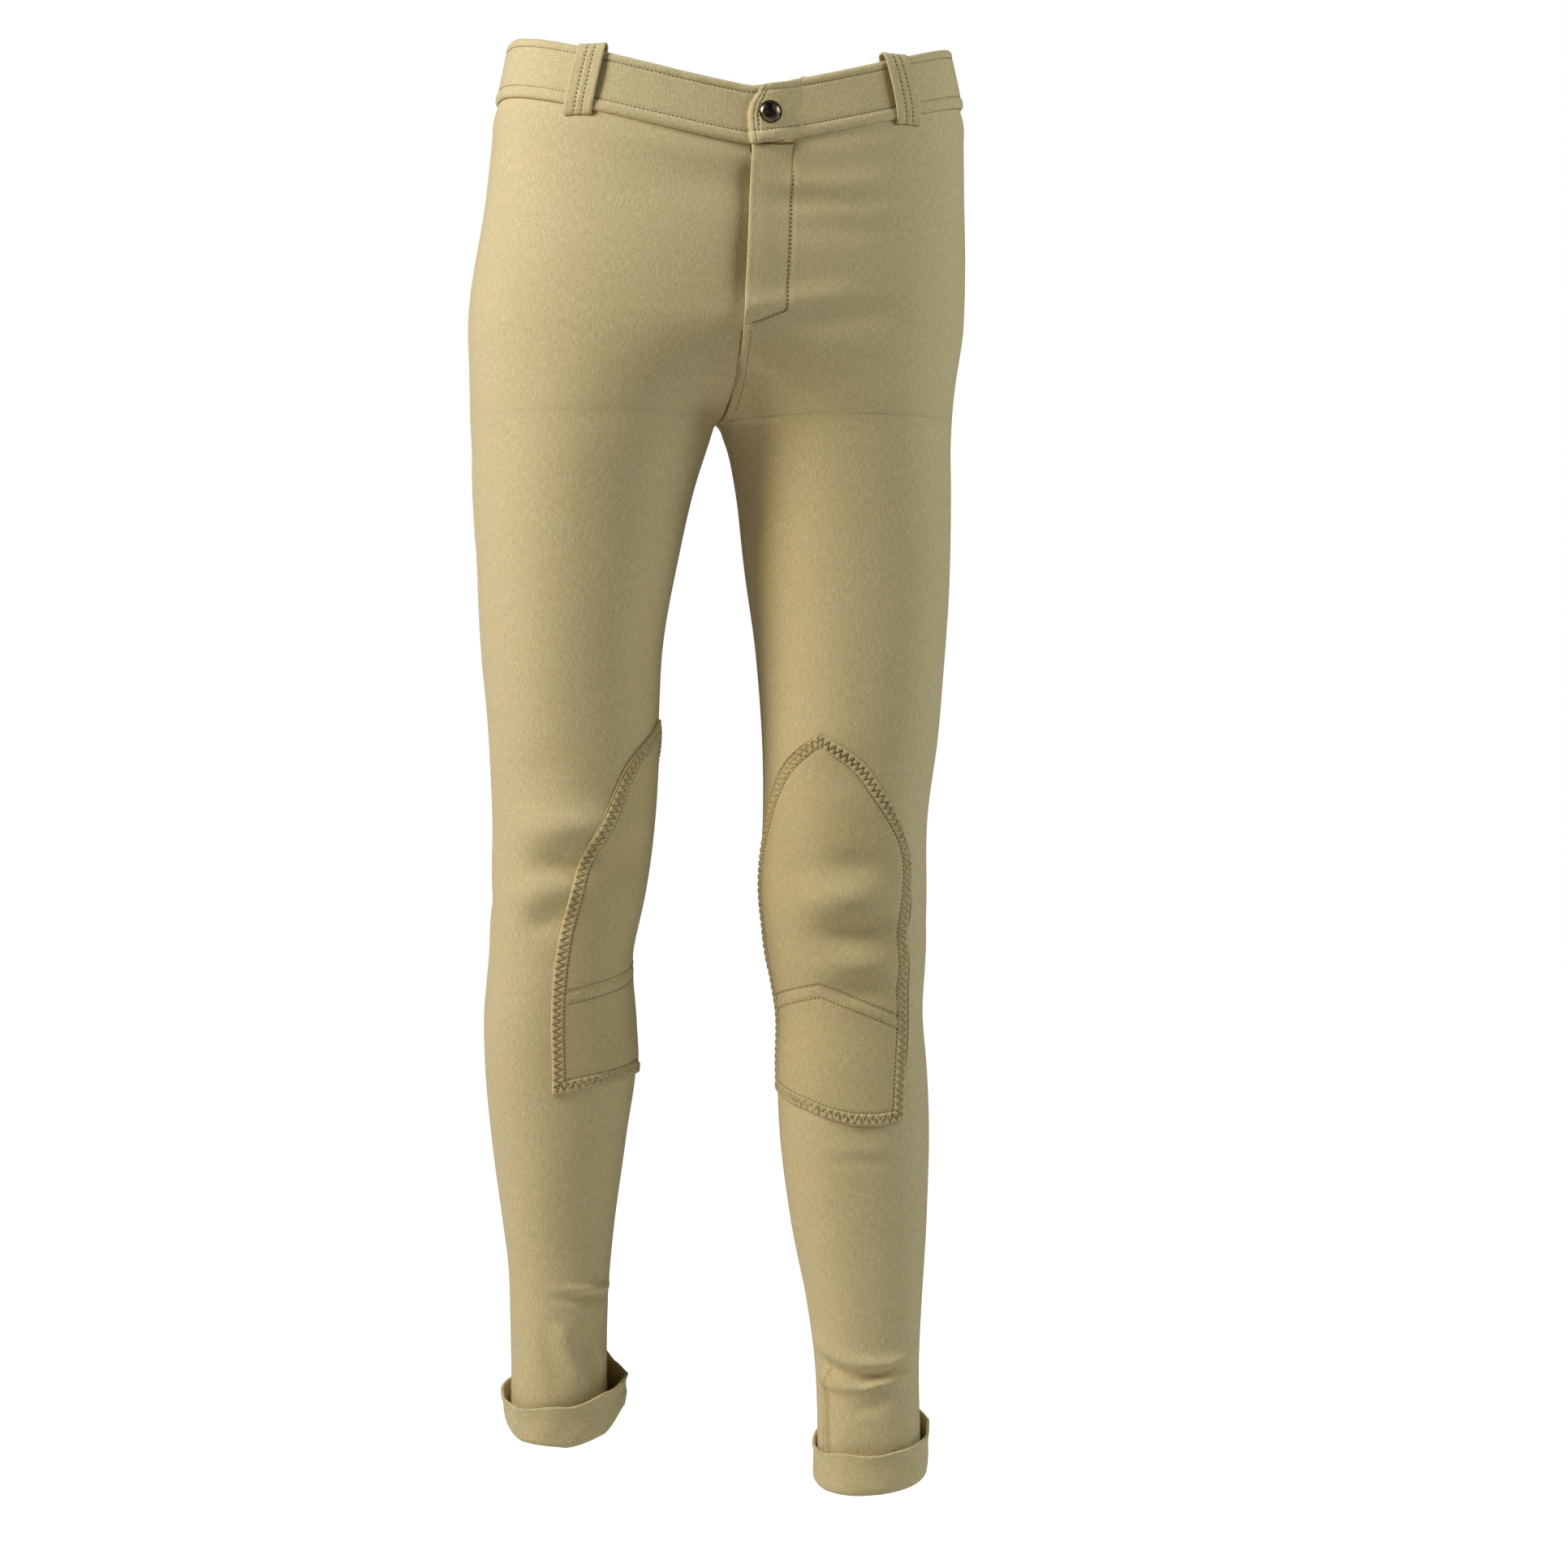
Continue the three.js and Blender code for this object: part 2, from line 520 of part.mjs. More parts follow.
// ---------------------------------------------------------------- knee patches
// Each outline gives, by height, the patch's outer and inner edges in degrees round the leg.
// The patch is two pieces of cloth, joined by a seam that rises to a point.
const PATCH_CLEAR = 2;
const PATCH_CLOTH = 1;
const PATCH = {
  right: {
    edges: [
      [-463, -60, -66], [-486, -31.8, -92], [-519, -15, -112], [-558, 0.8, -124],
      [-596, 7.8, -128], [-635, 11.2, -128], [-712, 13, -124],
    ],
    join: [[11, -650], [0.5, -647], [-62, -636], [-128, -652]],
    hem: [[13, -718], [-23, -711], [-65, -704], [-124, -712]],
  },
  left: {
    edges: [
      [-473, -25, -30], [-489, -5, -49], [-511, 12, -66], [-548, 34, -85],
      [-603, 36, -94], [-664, 32.5, -95], [-735, 28.2, -94],
    ],
    join: [[36, -664], [28, -663], [-31, -643], [-82, -652], [-95, -658]],
    hem: [[28, -737], [-12, -738], [-43, -729], [-94, -718]],
  },
};
function patch(side, rows, columns) {
  const { edges } = PATCH[side];
  return sheet(rows, columns, (row, share, face) => {
    const guide = row.height(0);
    const outer = between(edges.map(([z, a]) => [z, a]), guide);
    const inner = between(edges.map(([z, , b]) => [z, b]), guide);
    const phi = lerp(outer, inner, share);
    return legAt(side, phi, row.height(phi), face ? PATCH_CLEAR : PATCH_CLEAR + PATCH_CLOTH);
  });
}
for (const side of ['right', 'left']) {
  const { edges, join, hem } = PATCH[side];
  const top = edges[0][0];
  const upper = [0, 0.12, 0.25, 0.4, 0.55, 0.7, 0.85, 1].map((t) => ({
    height: (phi) => lerp(top, between(join, phi) + GAP, t),
  }));
  const lower = steps(0, 1, 3).map((t) => ({
    height: (phi) => lerp(between(join, phi) - GAP, between(hem, phi), t),
  }));
  const shares = steps(0, 1, 11);
  add(`${side}_knee_patch_upper`, patch(side, upper, shares), cloth(0xbcae84));
  add(`${side}_knee_patch_lower`, patch(side, lower, shares), cloth(0xbcae84));
}

// ---------------------------------------------------------------- turned-up cuffs
// By angle round the leg: height of the rim, height of the fold, and how far the rim stands off.
const CUFF = {
  right: [
    [0, -941, -965, 5], [60, -939, -960, 4], [120, -932, -953, 5], [180, -918, -950, 6],
    [225, -906, -951, 12], [270, -923, -956, 13], [315, -934, -962, 9], [360, -941, -965, 5],
  ],
  left: [
    [0, -960, -985, 3], [60, -952, -977, 3.5], [105, -942, -970, 4.5], [150, -944, -972, 4],
    [210, -950, -976, 3.5], [270, -960, -984, 3], [315, -961, -986, 3], [360, -960, -985, 3],
  ],
};
function cuff(side) {
  const table = CUFF[side];
  const read = (k, phi) => between(table.map((row) => [row[0], row[k]]), phi);
  // Profile from the rim down to the fold: share of the cuff's height, and height off the leg.
  const profile = (phi) => {
    const off = read(3, phi);
    return [[0, off], [0.35, off * 0.8], [0.72, Math.max(2.2, off * 0.55)], [1, 1.4]];
  };
  const columns = steps(0, 360, 20).slice(0, -1);
  return sheet([0, 1, 2, 3], columns, (row, phi, face) => {
    const [share, off] = profile(phi)[row];
    const z = lerp(read(1, phi), read(2, phi), share);
    return legAt(side, phi, Math.max(z, LEGS[side][LEGS[side].length - 1][0]), face ? off : off + CLOTH)
      .setZ(z - (face && row === 3 ? -0.4 : 0));
  }, true);
}
add('right_cuff', cuff('right'), cloth(CREAM));
add('left_cuff', cuff('left'), cloth(CREAM));

export default group;
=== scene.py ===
# %% [markdown]
# # Stretch riding jodhpurs, one lesson in cells
# Riding trousers are knitted cloth stretched over a leg: nothing on them is flat, and nearly all of their
# looks come from seams, stitches and a few soft folds. So the whole garment is worked out from one
# surface, the worn shape of trunk and legs, and every piece is placed by how far it stands off that
# surface.

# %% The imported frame
import json
import math

import bmesh
import bpy
import numpy as np
from mathutils import Vector
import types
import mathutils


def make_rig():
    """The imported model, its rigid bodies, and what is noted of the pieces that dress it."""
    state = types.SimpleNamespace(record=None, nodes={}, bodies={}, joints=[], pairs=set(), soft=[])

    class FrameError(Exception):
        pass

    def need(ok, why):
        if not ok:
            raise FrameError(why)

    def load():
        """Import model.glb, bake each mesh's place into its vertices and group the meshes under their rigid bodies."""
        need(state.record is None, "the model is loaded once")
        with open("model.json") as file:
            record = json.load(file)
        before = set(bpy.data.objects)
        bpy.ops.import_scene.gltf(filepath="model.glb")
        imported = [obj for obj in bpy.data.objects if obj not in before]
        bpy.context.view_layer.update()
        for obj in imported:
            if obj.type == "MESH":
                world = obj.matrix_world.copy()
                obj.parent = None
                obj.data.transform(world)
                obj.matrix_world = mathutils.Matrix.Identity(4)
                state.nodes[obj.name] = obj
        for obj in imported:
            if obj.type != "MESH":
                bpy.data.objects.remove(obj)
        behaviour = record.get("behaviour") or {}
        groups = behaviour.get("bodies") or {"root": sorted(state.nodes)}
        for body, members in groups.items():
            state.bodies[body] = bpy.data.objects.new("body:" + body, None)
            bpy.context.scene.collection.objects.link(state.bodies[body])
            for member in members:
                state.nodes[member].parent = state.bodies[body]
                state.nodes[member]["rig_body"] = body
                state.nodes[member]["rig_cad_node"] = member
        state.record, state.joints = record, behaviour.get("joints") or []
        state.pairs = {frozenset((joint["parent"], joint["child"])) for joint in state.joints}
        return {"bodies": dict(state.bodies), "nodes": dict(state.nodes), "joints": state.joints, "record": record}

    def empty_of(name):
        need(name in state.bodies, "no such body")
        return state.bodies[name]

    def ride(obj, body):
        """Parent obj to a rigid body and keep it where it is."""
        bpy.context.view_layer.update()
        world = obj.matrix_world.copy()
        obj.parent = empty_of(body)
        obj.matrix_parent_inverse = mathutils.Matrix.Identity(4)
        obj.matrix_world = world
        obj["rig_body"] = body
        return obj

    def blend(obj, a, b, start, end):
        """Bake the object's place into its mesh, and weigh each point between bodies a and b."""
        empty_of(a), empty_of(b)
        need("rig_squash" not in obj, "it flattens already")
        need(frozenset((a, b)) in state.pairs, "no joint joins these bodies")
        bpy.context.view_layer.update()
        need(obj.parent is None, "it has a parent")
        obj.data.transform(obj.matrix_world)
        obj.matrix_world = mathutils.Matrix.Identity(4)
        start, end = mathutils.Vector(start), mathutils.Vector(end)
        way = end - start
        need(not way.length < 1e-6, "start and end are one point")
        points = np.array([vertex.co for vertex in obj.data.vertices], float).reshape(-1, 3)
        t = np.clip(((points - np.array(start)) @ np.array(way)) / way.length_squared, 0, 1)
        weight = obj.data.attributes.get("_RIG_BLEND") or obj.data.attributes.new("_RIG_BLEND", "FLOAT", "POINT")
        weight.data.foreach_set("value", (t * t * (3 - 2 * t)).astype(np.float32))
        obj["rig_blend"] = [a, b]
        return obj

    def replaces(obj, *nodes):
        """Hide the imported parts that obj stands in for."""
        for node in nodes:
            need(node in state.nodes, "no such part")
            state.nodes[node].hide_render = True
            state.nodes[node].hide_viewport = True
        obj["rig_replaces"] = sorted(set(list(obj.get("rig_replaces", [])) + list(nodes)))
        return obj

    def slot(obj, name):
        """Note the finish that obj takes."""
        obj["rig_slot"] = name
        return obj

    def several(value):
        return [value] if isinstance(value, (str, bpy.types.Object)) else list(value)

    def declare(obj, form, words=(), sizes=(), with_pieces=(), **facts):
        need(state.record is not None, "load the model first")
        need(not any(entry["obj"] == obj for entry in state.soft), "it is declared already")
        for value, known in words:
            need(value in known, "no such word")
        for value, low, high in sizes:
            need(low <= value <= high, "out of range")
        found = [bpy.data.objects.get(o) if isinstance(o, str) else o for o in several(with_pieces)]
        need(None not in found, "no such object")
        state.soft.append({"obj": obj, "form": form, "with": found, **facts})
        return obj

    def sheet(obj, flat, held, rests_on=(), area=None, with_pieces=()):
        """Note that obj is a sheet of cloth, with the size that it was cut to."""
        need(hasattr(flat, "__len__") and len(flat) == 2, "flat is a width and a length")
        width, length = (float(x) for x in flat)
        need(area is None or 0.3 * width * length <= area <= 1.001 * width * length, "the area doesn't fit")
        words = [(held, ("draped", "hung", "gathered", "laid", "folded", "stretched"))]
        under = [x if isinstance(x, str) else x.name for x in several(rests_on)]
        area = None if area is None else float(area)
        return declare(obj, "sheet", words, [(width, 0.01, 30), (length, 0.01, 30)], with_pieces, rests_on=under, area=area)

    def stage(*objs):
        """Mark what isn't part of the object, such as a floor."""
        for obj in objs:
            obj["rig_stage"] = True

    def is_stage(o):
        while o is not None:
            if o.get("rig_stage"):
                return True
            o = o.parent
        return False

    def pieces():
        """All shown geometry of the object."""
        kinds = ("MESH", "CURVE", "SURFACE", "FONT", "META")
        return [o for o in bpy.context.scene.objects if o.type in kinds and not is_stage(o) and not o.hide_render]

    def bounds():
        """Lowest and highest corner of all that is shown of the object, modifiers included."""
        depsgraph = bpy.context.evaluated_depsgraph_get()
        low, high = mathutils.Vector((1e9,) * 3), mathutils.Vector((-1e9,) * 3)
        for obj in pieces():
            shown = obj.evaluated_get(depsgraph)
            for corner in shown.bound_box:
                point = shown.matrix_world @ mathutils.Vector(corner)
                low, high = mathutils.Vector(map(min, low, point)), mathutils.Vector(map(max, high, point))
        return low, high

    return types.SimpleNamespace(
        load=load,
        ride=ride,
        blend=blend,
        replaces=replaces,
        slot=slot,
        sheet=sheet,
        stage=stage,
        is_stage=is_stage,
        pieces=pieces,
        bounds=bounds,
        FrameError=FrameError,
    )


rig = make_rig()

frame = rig.load()
cad_low, cad_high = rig.bounds()
print("CAD box", [round(v, 4) for v in cad_low], [round(v, 4) for v in cad_high])

# %% [markdown]
# The camera stands level with the knees' upper edge, 3.2 m away, a little to the wearer's right. A long
# lens keeps the legs from leaning. The view is set first, because every later choice of detail depends on
# what shows.

# %% Camera
TURN = math.radians(-10)
DISTANCE, EYE_HEIGHT, EYE_ASIDE = 3.2, -0.5062, 0.0386
SENSOR, SEEN_WIDTH = 36.0, 1.0819
ahead = np.array([-math.sin(TURN), math.cos(TURN), 0.0])
aside = np.array([math.cos(TURN), math.sin(TURN), 0.0])
lens = bpy.data.cameras.new("eye")
lens.sensor_width, lens.lens = SENSOR, SENSOR * DISTANCE / SEEN_WIDTH
lens.clip_end = 60
eye = bpy.data.objects.new("eye", lens)
eye.location = EYE_ASIDE * aside - DISTANCE * ahead + np.array([0, 0, EYE_HEIGHT])
eye.rotation_euler = (math.pi / 2, 0, TURN)
bpy.context.scene.collection.objects.link(eye)
bpy.context.scene.camera = eye
print("eye at", [round(v, 3) for v in eye.location], "lens", round(lens.lens, 1))

# %% [markdown]
# The worn shape is two kinds of section: the trunk has one rounded oblong at each height, and each leg has
# its own. Stations give their middles and half sizes in millimetres, and cubic pieces join them. Between
# the crotch and the fly's end the leg's own outline turns smoothly into the trunk's, so that thigh and hip
# are one cloth.

# %% Stations of the worn shape, in millimetres
RIGHT, LEFT = -1, 1
TRUNK = np.array([          # height, middle x, half width, front reach, back reach
    [20, 1, 147, 92, 86], [-50, 1, 161, 100, 96], [-110, -2, 165.5, 106, 112],
    [-185, -7.5, 171, 108, 121], [-250, -9.5, 168.5, 102, 114], [-340, -10, 158, 94, 104]], float)
LEGS = {                    # height, middle x, middle y, half width, half depth
    RIGHT: np.array([
        [-150, -86, 8, 85, 106], [-250, -92, 9, 85, 98], [-262, -93.3, 9, 83.2, 96], [-275, -95, 9, 80.6, 94],
        [-300, -98.8, 10, 76.3, 90], [-360, -104, 11, 68, 82], [-415, -107, 12, 61.8, 75],
        [-470, -106, 13, 58, 69], [-530, -106, 15, 54.7, 63], [-580, -109.4, 17, 51.8, 58],
        [-625, -114, 22, 48.5, 55], [-670, -114, 28, 51.5, 55], [-700, -112.5, 32, 52, 54],
        [-750, -112.5, 39, 46.5, 51], [-810, -112, 46, 38.7, 45], [-840, -111, 49, 35.4, 42],
        [-890, -110.7, 53, 33.3, 39], [-960, -110, 57, 33.5, 38]], float),
    LEFT: np.array([
        [-150, 71, 8, 84, 106], [-250, 75.5, 7, 80.5, 98], [-262, 76.9, 7, 78.7, 96],
        [-275, 78.7, 6, 76.3, 94], [-300, 81.2, 4, 74, 90], [-360, 83.3, -1, 70, 82],
        [-415, 84.5, -6, 64.8, 75],
        [-470, 83.8, -9, 60.2, 69], [-530, 80, -10, 56.3, 63], [-580, 79.3, -8, 57, 59],
        [-625, 82.5, -4, 54, 56], [-665, 86, 0, 49.6, 55], [-700, 86.7, -2, 51.2, 54],
        [-750, 87.6, -6, 51.4, 51], [-805, 89.9, -10, 47, 46], [-860, 92.7, -14, 39.8, 42],
        [-900, 94.2, -17, 36, 39], [-990, 95.5, -21, 35, 38]], float)}
TRUNK_POWER, LEG_POWER = 2.4, 2.15
MERGE_LOW, MERGE_TOP = -262.0, -190.0
CENTRE = [(20, 5), (-190, -6.5), (-255, -6)]
INSEAM = {RIGHT: [(-200, -89), (-262, -89), (-400, -95), (-1000, -97)],
          LEFT: [(-200, -89), (-262, -89), (-400, -94), (-840, -92), (-900, -72), (-1000, -74)]}
OUTSEAM = 92.0
CLOTH = 1.2
BAND_HEIGHT, FRONT_DIP, BACK_DIP = 40.0, 39.0, 12.0
FLY_WIDTH, FLY_CORNER, FLY_END = 28.4, -190.0, -201.0
TAB_FOLD, UNDERLAP = 33.0, 22.0
FOLD = {RIGHT: -952.0, LEFT: -972.0}
CUFF_REACH = 52.0
KNEE_TOP, KNEE_FOOT = -500.0, -670.0
NAVEL_Z = -60.0


# %% Small maths
MM = 0.001


def smooth(q):
    """Smoothstep: 3 q squared less 2 q cubed, held between 0 and 1."""
    q = np.clip(q, 0, 1)
    return q * q * (3 - 2 * q)


def between(pairs, key):
    """Straight lines between (key, value) pairs, whichever way the keys run."""
    table = np.array(sorted(pairs), float)
    return np.interp(key, table[:, 0], table[:, 1])


def along(stations, z):
    """Cubic Hermite pieces through rows of stations that run downwards; a station's slope is the mean of its
    two neighbours' slopes, each weighted by the other's step."""
    h, y = stations[:, 0], stations[:, 1:]
    w = np.diff(h)
    d = np.diff(y, axis=0) / w[:, None]
    m = np.empty_like(y)
    m[0], m[-1] = d[0], d[-1]
    m[1:-1] = (d[:-1] * w[1:, None] + d[1:] * w[:-1, None]) / (w[1:] + w[:-1])[:, None]
    z = np.clip(z, h[-1], h[0])
    i = np.clip(np.searchsorted(-h, -z, side="right") - 1, 0, len(h) - 2)
    t = ((z - h[i]) / w[i])[..., None]
    return ((2 * t**3 - 3 * t**2 + 1) * y[i] + (t**3 - 2 * t**2 + t) * m[i] * w[i][..., None]
            + (3 * t**2 - 2 * t**3) * y[i + 1] + (t**3 - t**2) * m[i + 1] * w[i][..., None])


def halved(stays_low, low, high, times):
    """Halves the stretch from low to high: low moves to the middle where the test holds, or else high."""
    for _ in range(times):
        mid = (low + high) / 2
        below = stays_low(mid)
        low, high = np.where(below, mid, low), np.where(below, high, mid)
    return low


def run_of(line):
    """Length along a line of points at each of them."""
    return np.concatenate([[0], np.cumsum(np.linalg.norm(np.diff(line, axis=0), axis=1))])


def read_at(line, run, at):
    """Each column of a line, read at lengths along it."""
    return np.stack([np.interp(at, run, column) for column in line.T], 1)


def unit(v):
    """Each vector over its own length."""
    return v / np.maximum(np.linalg.norm(v, axis=-1, keepdims=True), 1e-9)


def centre_x(z):
    """Sideways place of the front and back centre seam at a height."""
    return between(CENTRE, z)


# %% [markdown]
# Two surface functions do the rest. One is polar round a leg: its angle phi is 0 at the front, 90 at the
# outer side and -90 inside. The other is polar round the trunk. A ray from the middle meets a superellipse
# at the distance (|x/a|^n + |y/b|^n)^(-1/n); where leg and trunk merge, the ray's end is found by halving.

# %% The worn surface
def trunk_inside(section, x, y):
    """Below 1 inside the trunk's superellipse |x/a|^n + |y/b|^n."""
    reach = np.where(y < 0, section[..., 2], section[..., 3])
    return np.abs((x - section[..., 0]) / section[..., 1]) ** TRUNK_POWER + np.abs(y / reach) ** TRUNK_POWER


def trunk_reach(section, x, y, dx, dy):
    """How far a ray from (x, y) runs inside the trunk, by halving the stretch 0 to 420 mm 26 times."""
    inside = lambda far: trunk_inside(section, x + far * dx, y + far * dy) < 1
    return halved(inside, np.zeros(np.shape(x + dx)), np.full(np.shape(x + dx), 420.0), 26)


def leg_surface(side, phi, z):
    """A point of the worn surface: the leg's middle plus its reach along phi, mixed into the trunk's."""
    phi, z = np.broadcast_arrays(np.asarray(phi, float), np.asarray(z, float))
    own, trunk = along(LEGS[side], z), along(TRUNK, z)
    dx, dy = side * np.sin(np.radians(phi)), -np.cos(np.radians(phi))
    n = LEG_POWER
    reach = (np.abs(dx / own[..., 2]) ** n + np.abs(dy / own[..., 3]) ** n) ** (-1 / n)
    merged = smooth((z - MERGE_LOW) / (MERGE_TOP - MERGE_LOW))
    if np.any(merged > 0):
        far = trunk_reach(trunk, own[..., 0], own[..., 1], dx, dy)
        reach = reach + (far - reach) * merged
    return np.stack([own[..., 0] + reach * dx, own[..., 1] + reach * dy, z], -1)


def trunk_surface(psi, z):
    """The trunk's surface by plan angle: 0 at the front and 90 at the wearer's left hip."""
    psi, z = np.broadcast_arrays(np.asarray(psi, float), np.asarray(z, float))
    section = along(TRUNK, z)
    dx, dy = np.sin(np.radians(psi)), -np.cos(np.radians(psi))
    reach = trunk_reach(section, section[..., 0], 0.0, dx, dy)
    return np.stack([section[..., 0] + reach * dx, reach * dy, z], -1)


def front_surface(x, z):
    """The trunk's front by sideways place: y = -b (1 - |x/a|^n)^(1/n)."""
    x, z = np.broadcast_arrays(np.asarray(x, float), np.asarray(z, float))
    s = along(TRUNK, z)
    share = 1 - np.abs((x - s[..., 0]) / s[..., 1]) ** TRUNK_POWER
    return np.stack([x, -s[..., 2] * share ** (1 / TRUNK_POWER), z], -1)


def normal_of(surface, a, z, flip=1.0):
    """Unit normal: the cross product of the surface's own steps across and down."""
    across = surface(a + 0.4, z) - surface(a - 0.4, z)
    down = surface(a, z + 0.5) - surface(a, z - 0.5)
    return flip * unit(np.cross(across, down))


def leg_normal(side, phi, z):
    """Outward direction of a leg's surface."""
    return normal_of(lambda a, b: leg_surface(side, a, b), phi, z, side)


def off(surface, a, z, h):
    """A point that stands h off a surface."""
    return surface(a, z) + normal_of(surface, a, z) * np.asarray(h)[..., None]


def metres(point):
    """A place in millimetres as three plain numbers in metres."""
    return tuple(float(v) for v in point * MM)


def band_top(psi):
    """Height of the band's top edge: it falls in an arc to the fly, and a little at the back."""
    p = trunk_surface(psi, -20.0)
    share = np.minimum(1, np.abs(p[..., 0] - 1) / 155)
    return np.where(p[..., 1] < 0, -FRONT_DIP * (1 - share**1.2), -BACK_DIP * (1 - share**1.5))


def front_band_top(x):
    """The same height at a sideways place on the front."""
    return -FRONT_DIP * (1 - (np.abs(x - 1) / 155) ** 1.2)


def plan_angle(x, z):
    """Plan angle of a front point at a sideways place."""
    p = front_surface(x, z)
    return np.degrees(np.arctan2(x - along(TRUNK, np.asarray(z, float))[..., 0], -p[..., 1]))


front_check = leg_surface(RIGHT, np.array([0.0, 90.0]), np.array([-700.0, -700.0]))
print("right calf, front and outer side", front_check.round(1).tolist())

# %% [markdown]
# Skin-tight cloth still has a few soft forms: the kneecap with a hollow under it, shallow pulls from the
# crotch to the hip, and wrinkles where the ankle is full. Sculpting could do it, but a list of lumps and
# creases in leg coordinates keeps each one's place readable, and everything sewn on the leg can follow the
# same heights.

# %% Soft folds: height, angle, height on the leg, half width, half height (millimetres, degrees)
LUMPS = {
    RIGHT: [
        (7.0, 8, -536, 32, 13), (-5.2, 14, -562, 22, 10), (3.8, 26, -580, 18, 11), (-4.0, 20, -600, 13, 10),
        (-1.6, 28, -500, 18, 16), (2.4, -36, -534, 15, 13), (-3.2, -28, -565, 14, 11),
        (3.8, -32, -854, 19, 3.0), (-3.6, -30, -861, 18, 3.5), (1.2, 0, -640, 26, 22),
        (-2.0, -34, -104, 46, 16), (1.8, 20, -150, 60, 40), (-1.4, -42, -160, 26, 44),
        (2.0, 150, -560, 40, 16), (-2.4, 165, -585, 60, 7), (2.0, 180, -602, 55, 8),
        (-2.0, 200, -622, 50, 7)],
    LEFT: [
        (7.6, -8, -584, 26, 13), (-5.4, 0, -608, 25, 9), (3.6, -2, -630, 26, 9), (-3.0, -2, -647, 24, 8),
        (-2.0, -42, -566, 14, 16), (1.6, 22, -560, 18, 22), (-1.8, -14, -498, 30, 16),
        (-2.0, -4, -561, 24, 9),
        (-2.2, -34, -112, 34, 20), (1.5, 5, -117, 30, 11), (-1.3, -8, -134, 26, 9), (-1.8, -10, -176, 34, 22),
        (1.6, 24, -178, 30, 34), (0.9, -8, -756, 30, 4), (-0.7, -6, -764, 30, 4), (-1.5, -28, -962, 16, 5),
        (2.0, 150, -575, 40, 16), (-2.4, 165, -600, 60, 7), (2.0, 180, -618, 55, 8),
        (-2.0, 200, -638, 50, 7)]}
UNDER_SEAT = [(3.0, 170, -300, 60, 34), (-3.0, 175, -352, 60, 14)]
# Creases: height, half width, points of (angle, height on the leg)
CREASES = {
    RIGHT: [
        (3.2, 5, [(12, -874), (-4, -900), (-20, -930)]), (-3.0, 4.5, [(-8, -880), (-26, -904), (-40, -930)]),
        (1.7, 5, [(-26, -888), (-42, -902), (-58, -916)]), (-1.2, 4, [(26, -880), (16, -905), (6, -930)]),
        (1.4, 6, [(-86, -250), (-62, -236), (-30, -226)]), (-1.3, 6, [(-84, -266), (-60, -254), (-30, -246)]),
        (1.8, 4, [(150, -880), (185, -890), (220, -884)]), (-1.6, 4, [(150, -893), (185, -903), (220, -896)]),
        (1.6, 4, [(130, -912), (170, -916), (215, -908)])],
    LEFT: [
        (3.8, 4.8, [(-96, -880), (-50, -895), (-22, -902), (10, -903), (66, -892)]),
        (-4.2, 4.6, [(-96, -896), (-48, -907), (-18, -911), (10, -909), (54, -899)]),
        (3.6, 3.4, [(-92, -912), (-44, -918), (-14, -918), (18, -912), (60, -901)]),
        (-1.6, 4, [(-30, -933), (-4, -931), (18, -923)]),
        (2.8, 2.0, [(-60, -890), (-62, -930), (-62, -990)]), (-2.2, 1.8, [(-70, -900), (-72, -990)]),
        (3.2, 8, [(-80, -214), (-52, -208), (-24, -212)]), (-3.0, 8, [(-82, -238), (-56, -230), (-26, -234)]),
        (2.4, 8, [(-80, -258), (-50, -252), (-20, -262)]),
        (2.4, 8, [(-60, -205), (-28, -186), (8, -172)]), (-2.2, 8, [(-30, -204), (0, -192), (24, -186)]),
        (1.6, 7, [(-34, -104), (-6, -104), (20, -96)]), (-1.8, 7, [(-34, -116), (0, -116), (24, -108)]),
        (1.8, 4, [(150, -900), (185, -908), (220, -902)]),
        (-1.6, 4, [(150, -912), (185, -920), (220, -914)])]}
SEAT_CREASES = [(1.6, 7, [(100, -330), (140, -352), (185, -372)]),
                (-1.4, 6, [(100, -344), (140, -368), (185, -390)])]


def turned(angle):
    """An angle brought to the half turn either side of 0."""
    return (angle + 180) % 360 - 180


def girth(side, z):
    """Mean radius of a leg's section, which turns its angles into millimetres."""
    return along(LEGS[side], z)[..., 2:4].mean(-1)


def to_polyline(x, y, points):
    """Distance from each place to a line of points, and how far along the line its nearest point is."""
    best, where, run = np.full(np.shape(x), 1e9), np.zeros(np.shape(x)), 0.0
    for (ax, ay), (bx, by) in zip(points[:-1], points[1:]):
        dx, dy = bx - ax, by - ay
        long = math.hypot(dx, dy) or 1e-9
        t = np.clip(((x - ax) * dx + (y - ay) * dy) / long**2, 0, 1)
        gap = np.hypot(x - ax - t * dx, y - ay - t * dy)
        where = np.where(gap < best, run + t * long, where)
        best = np.minimum(best, gap)
        run += long
    return best, where, run


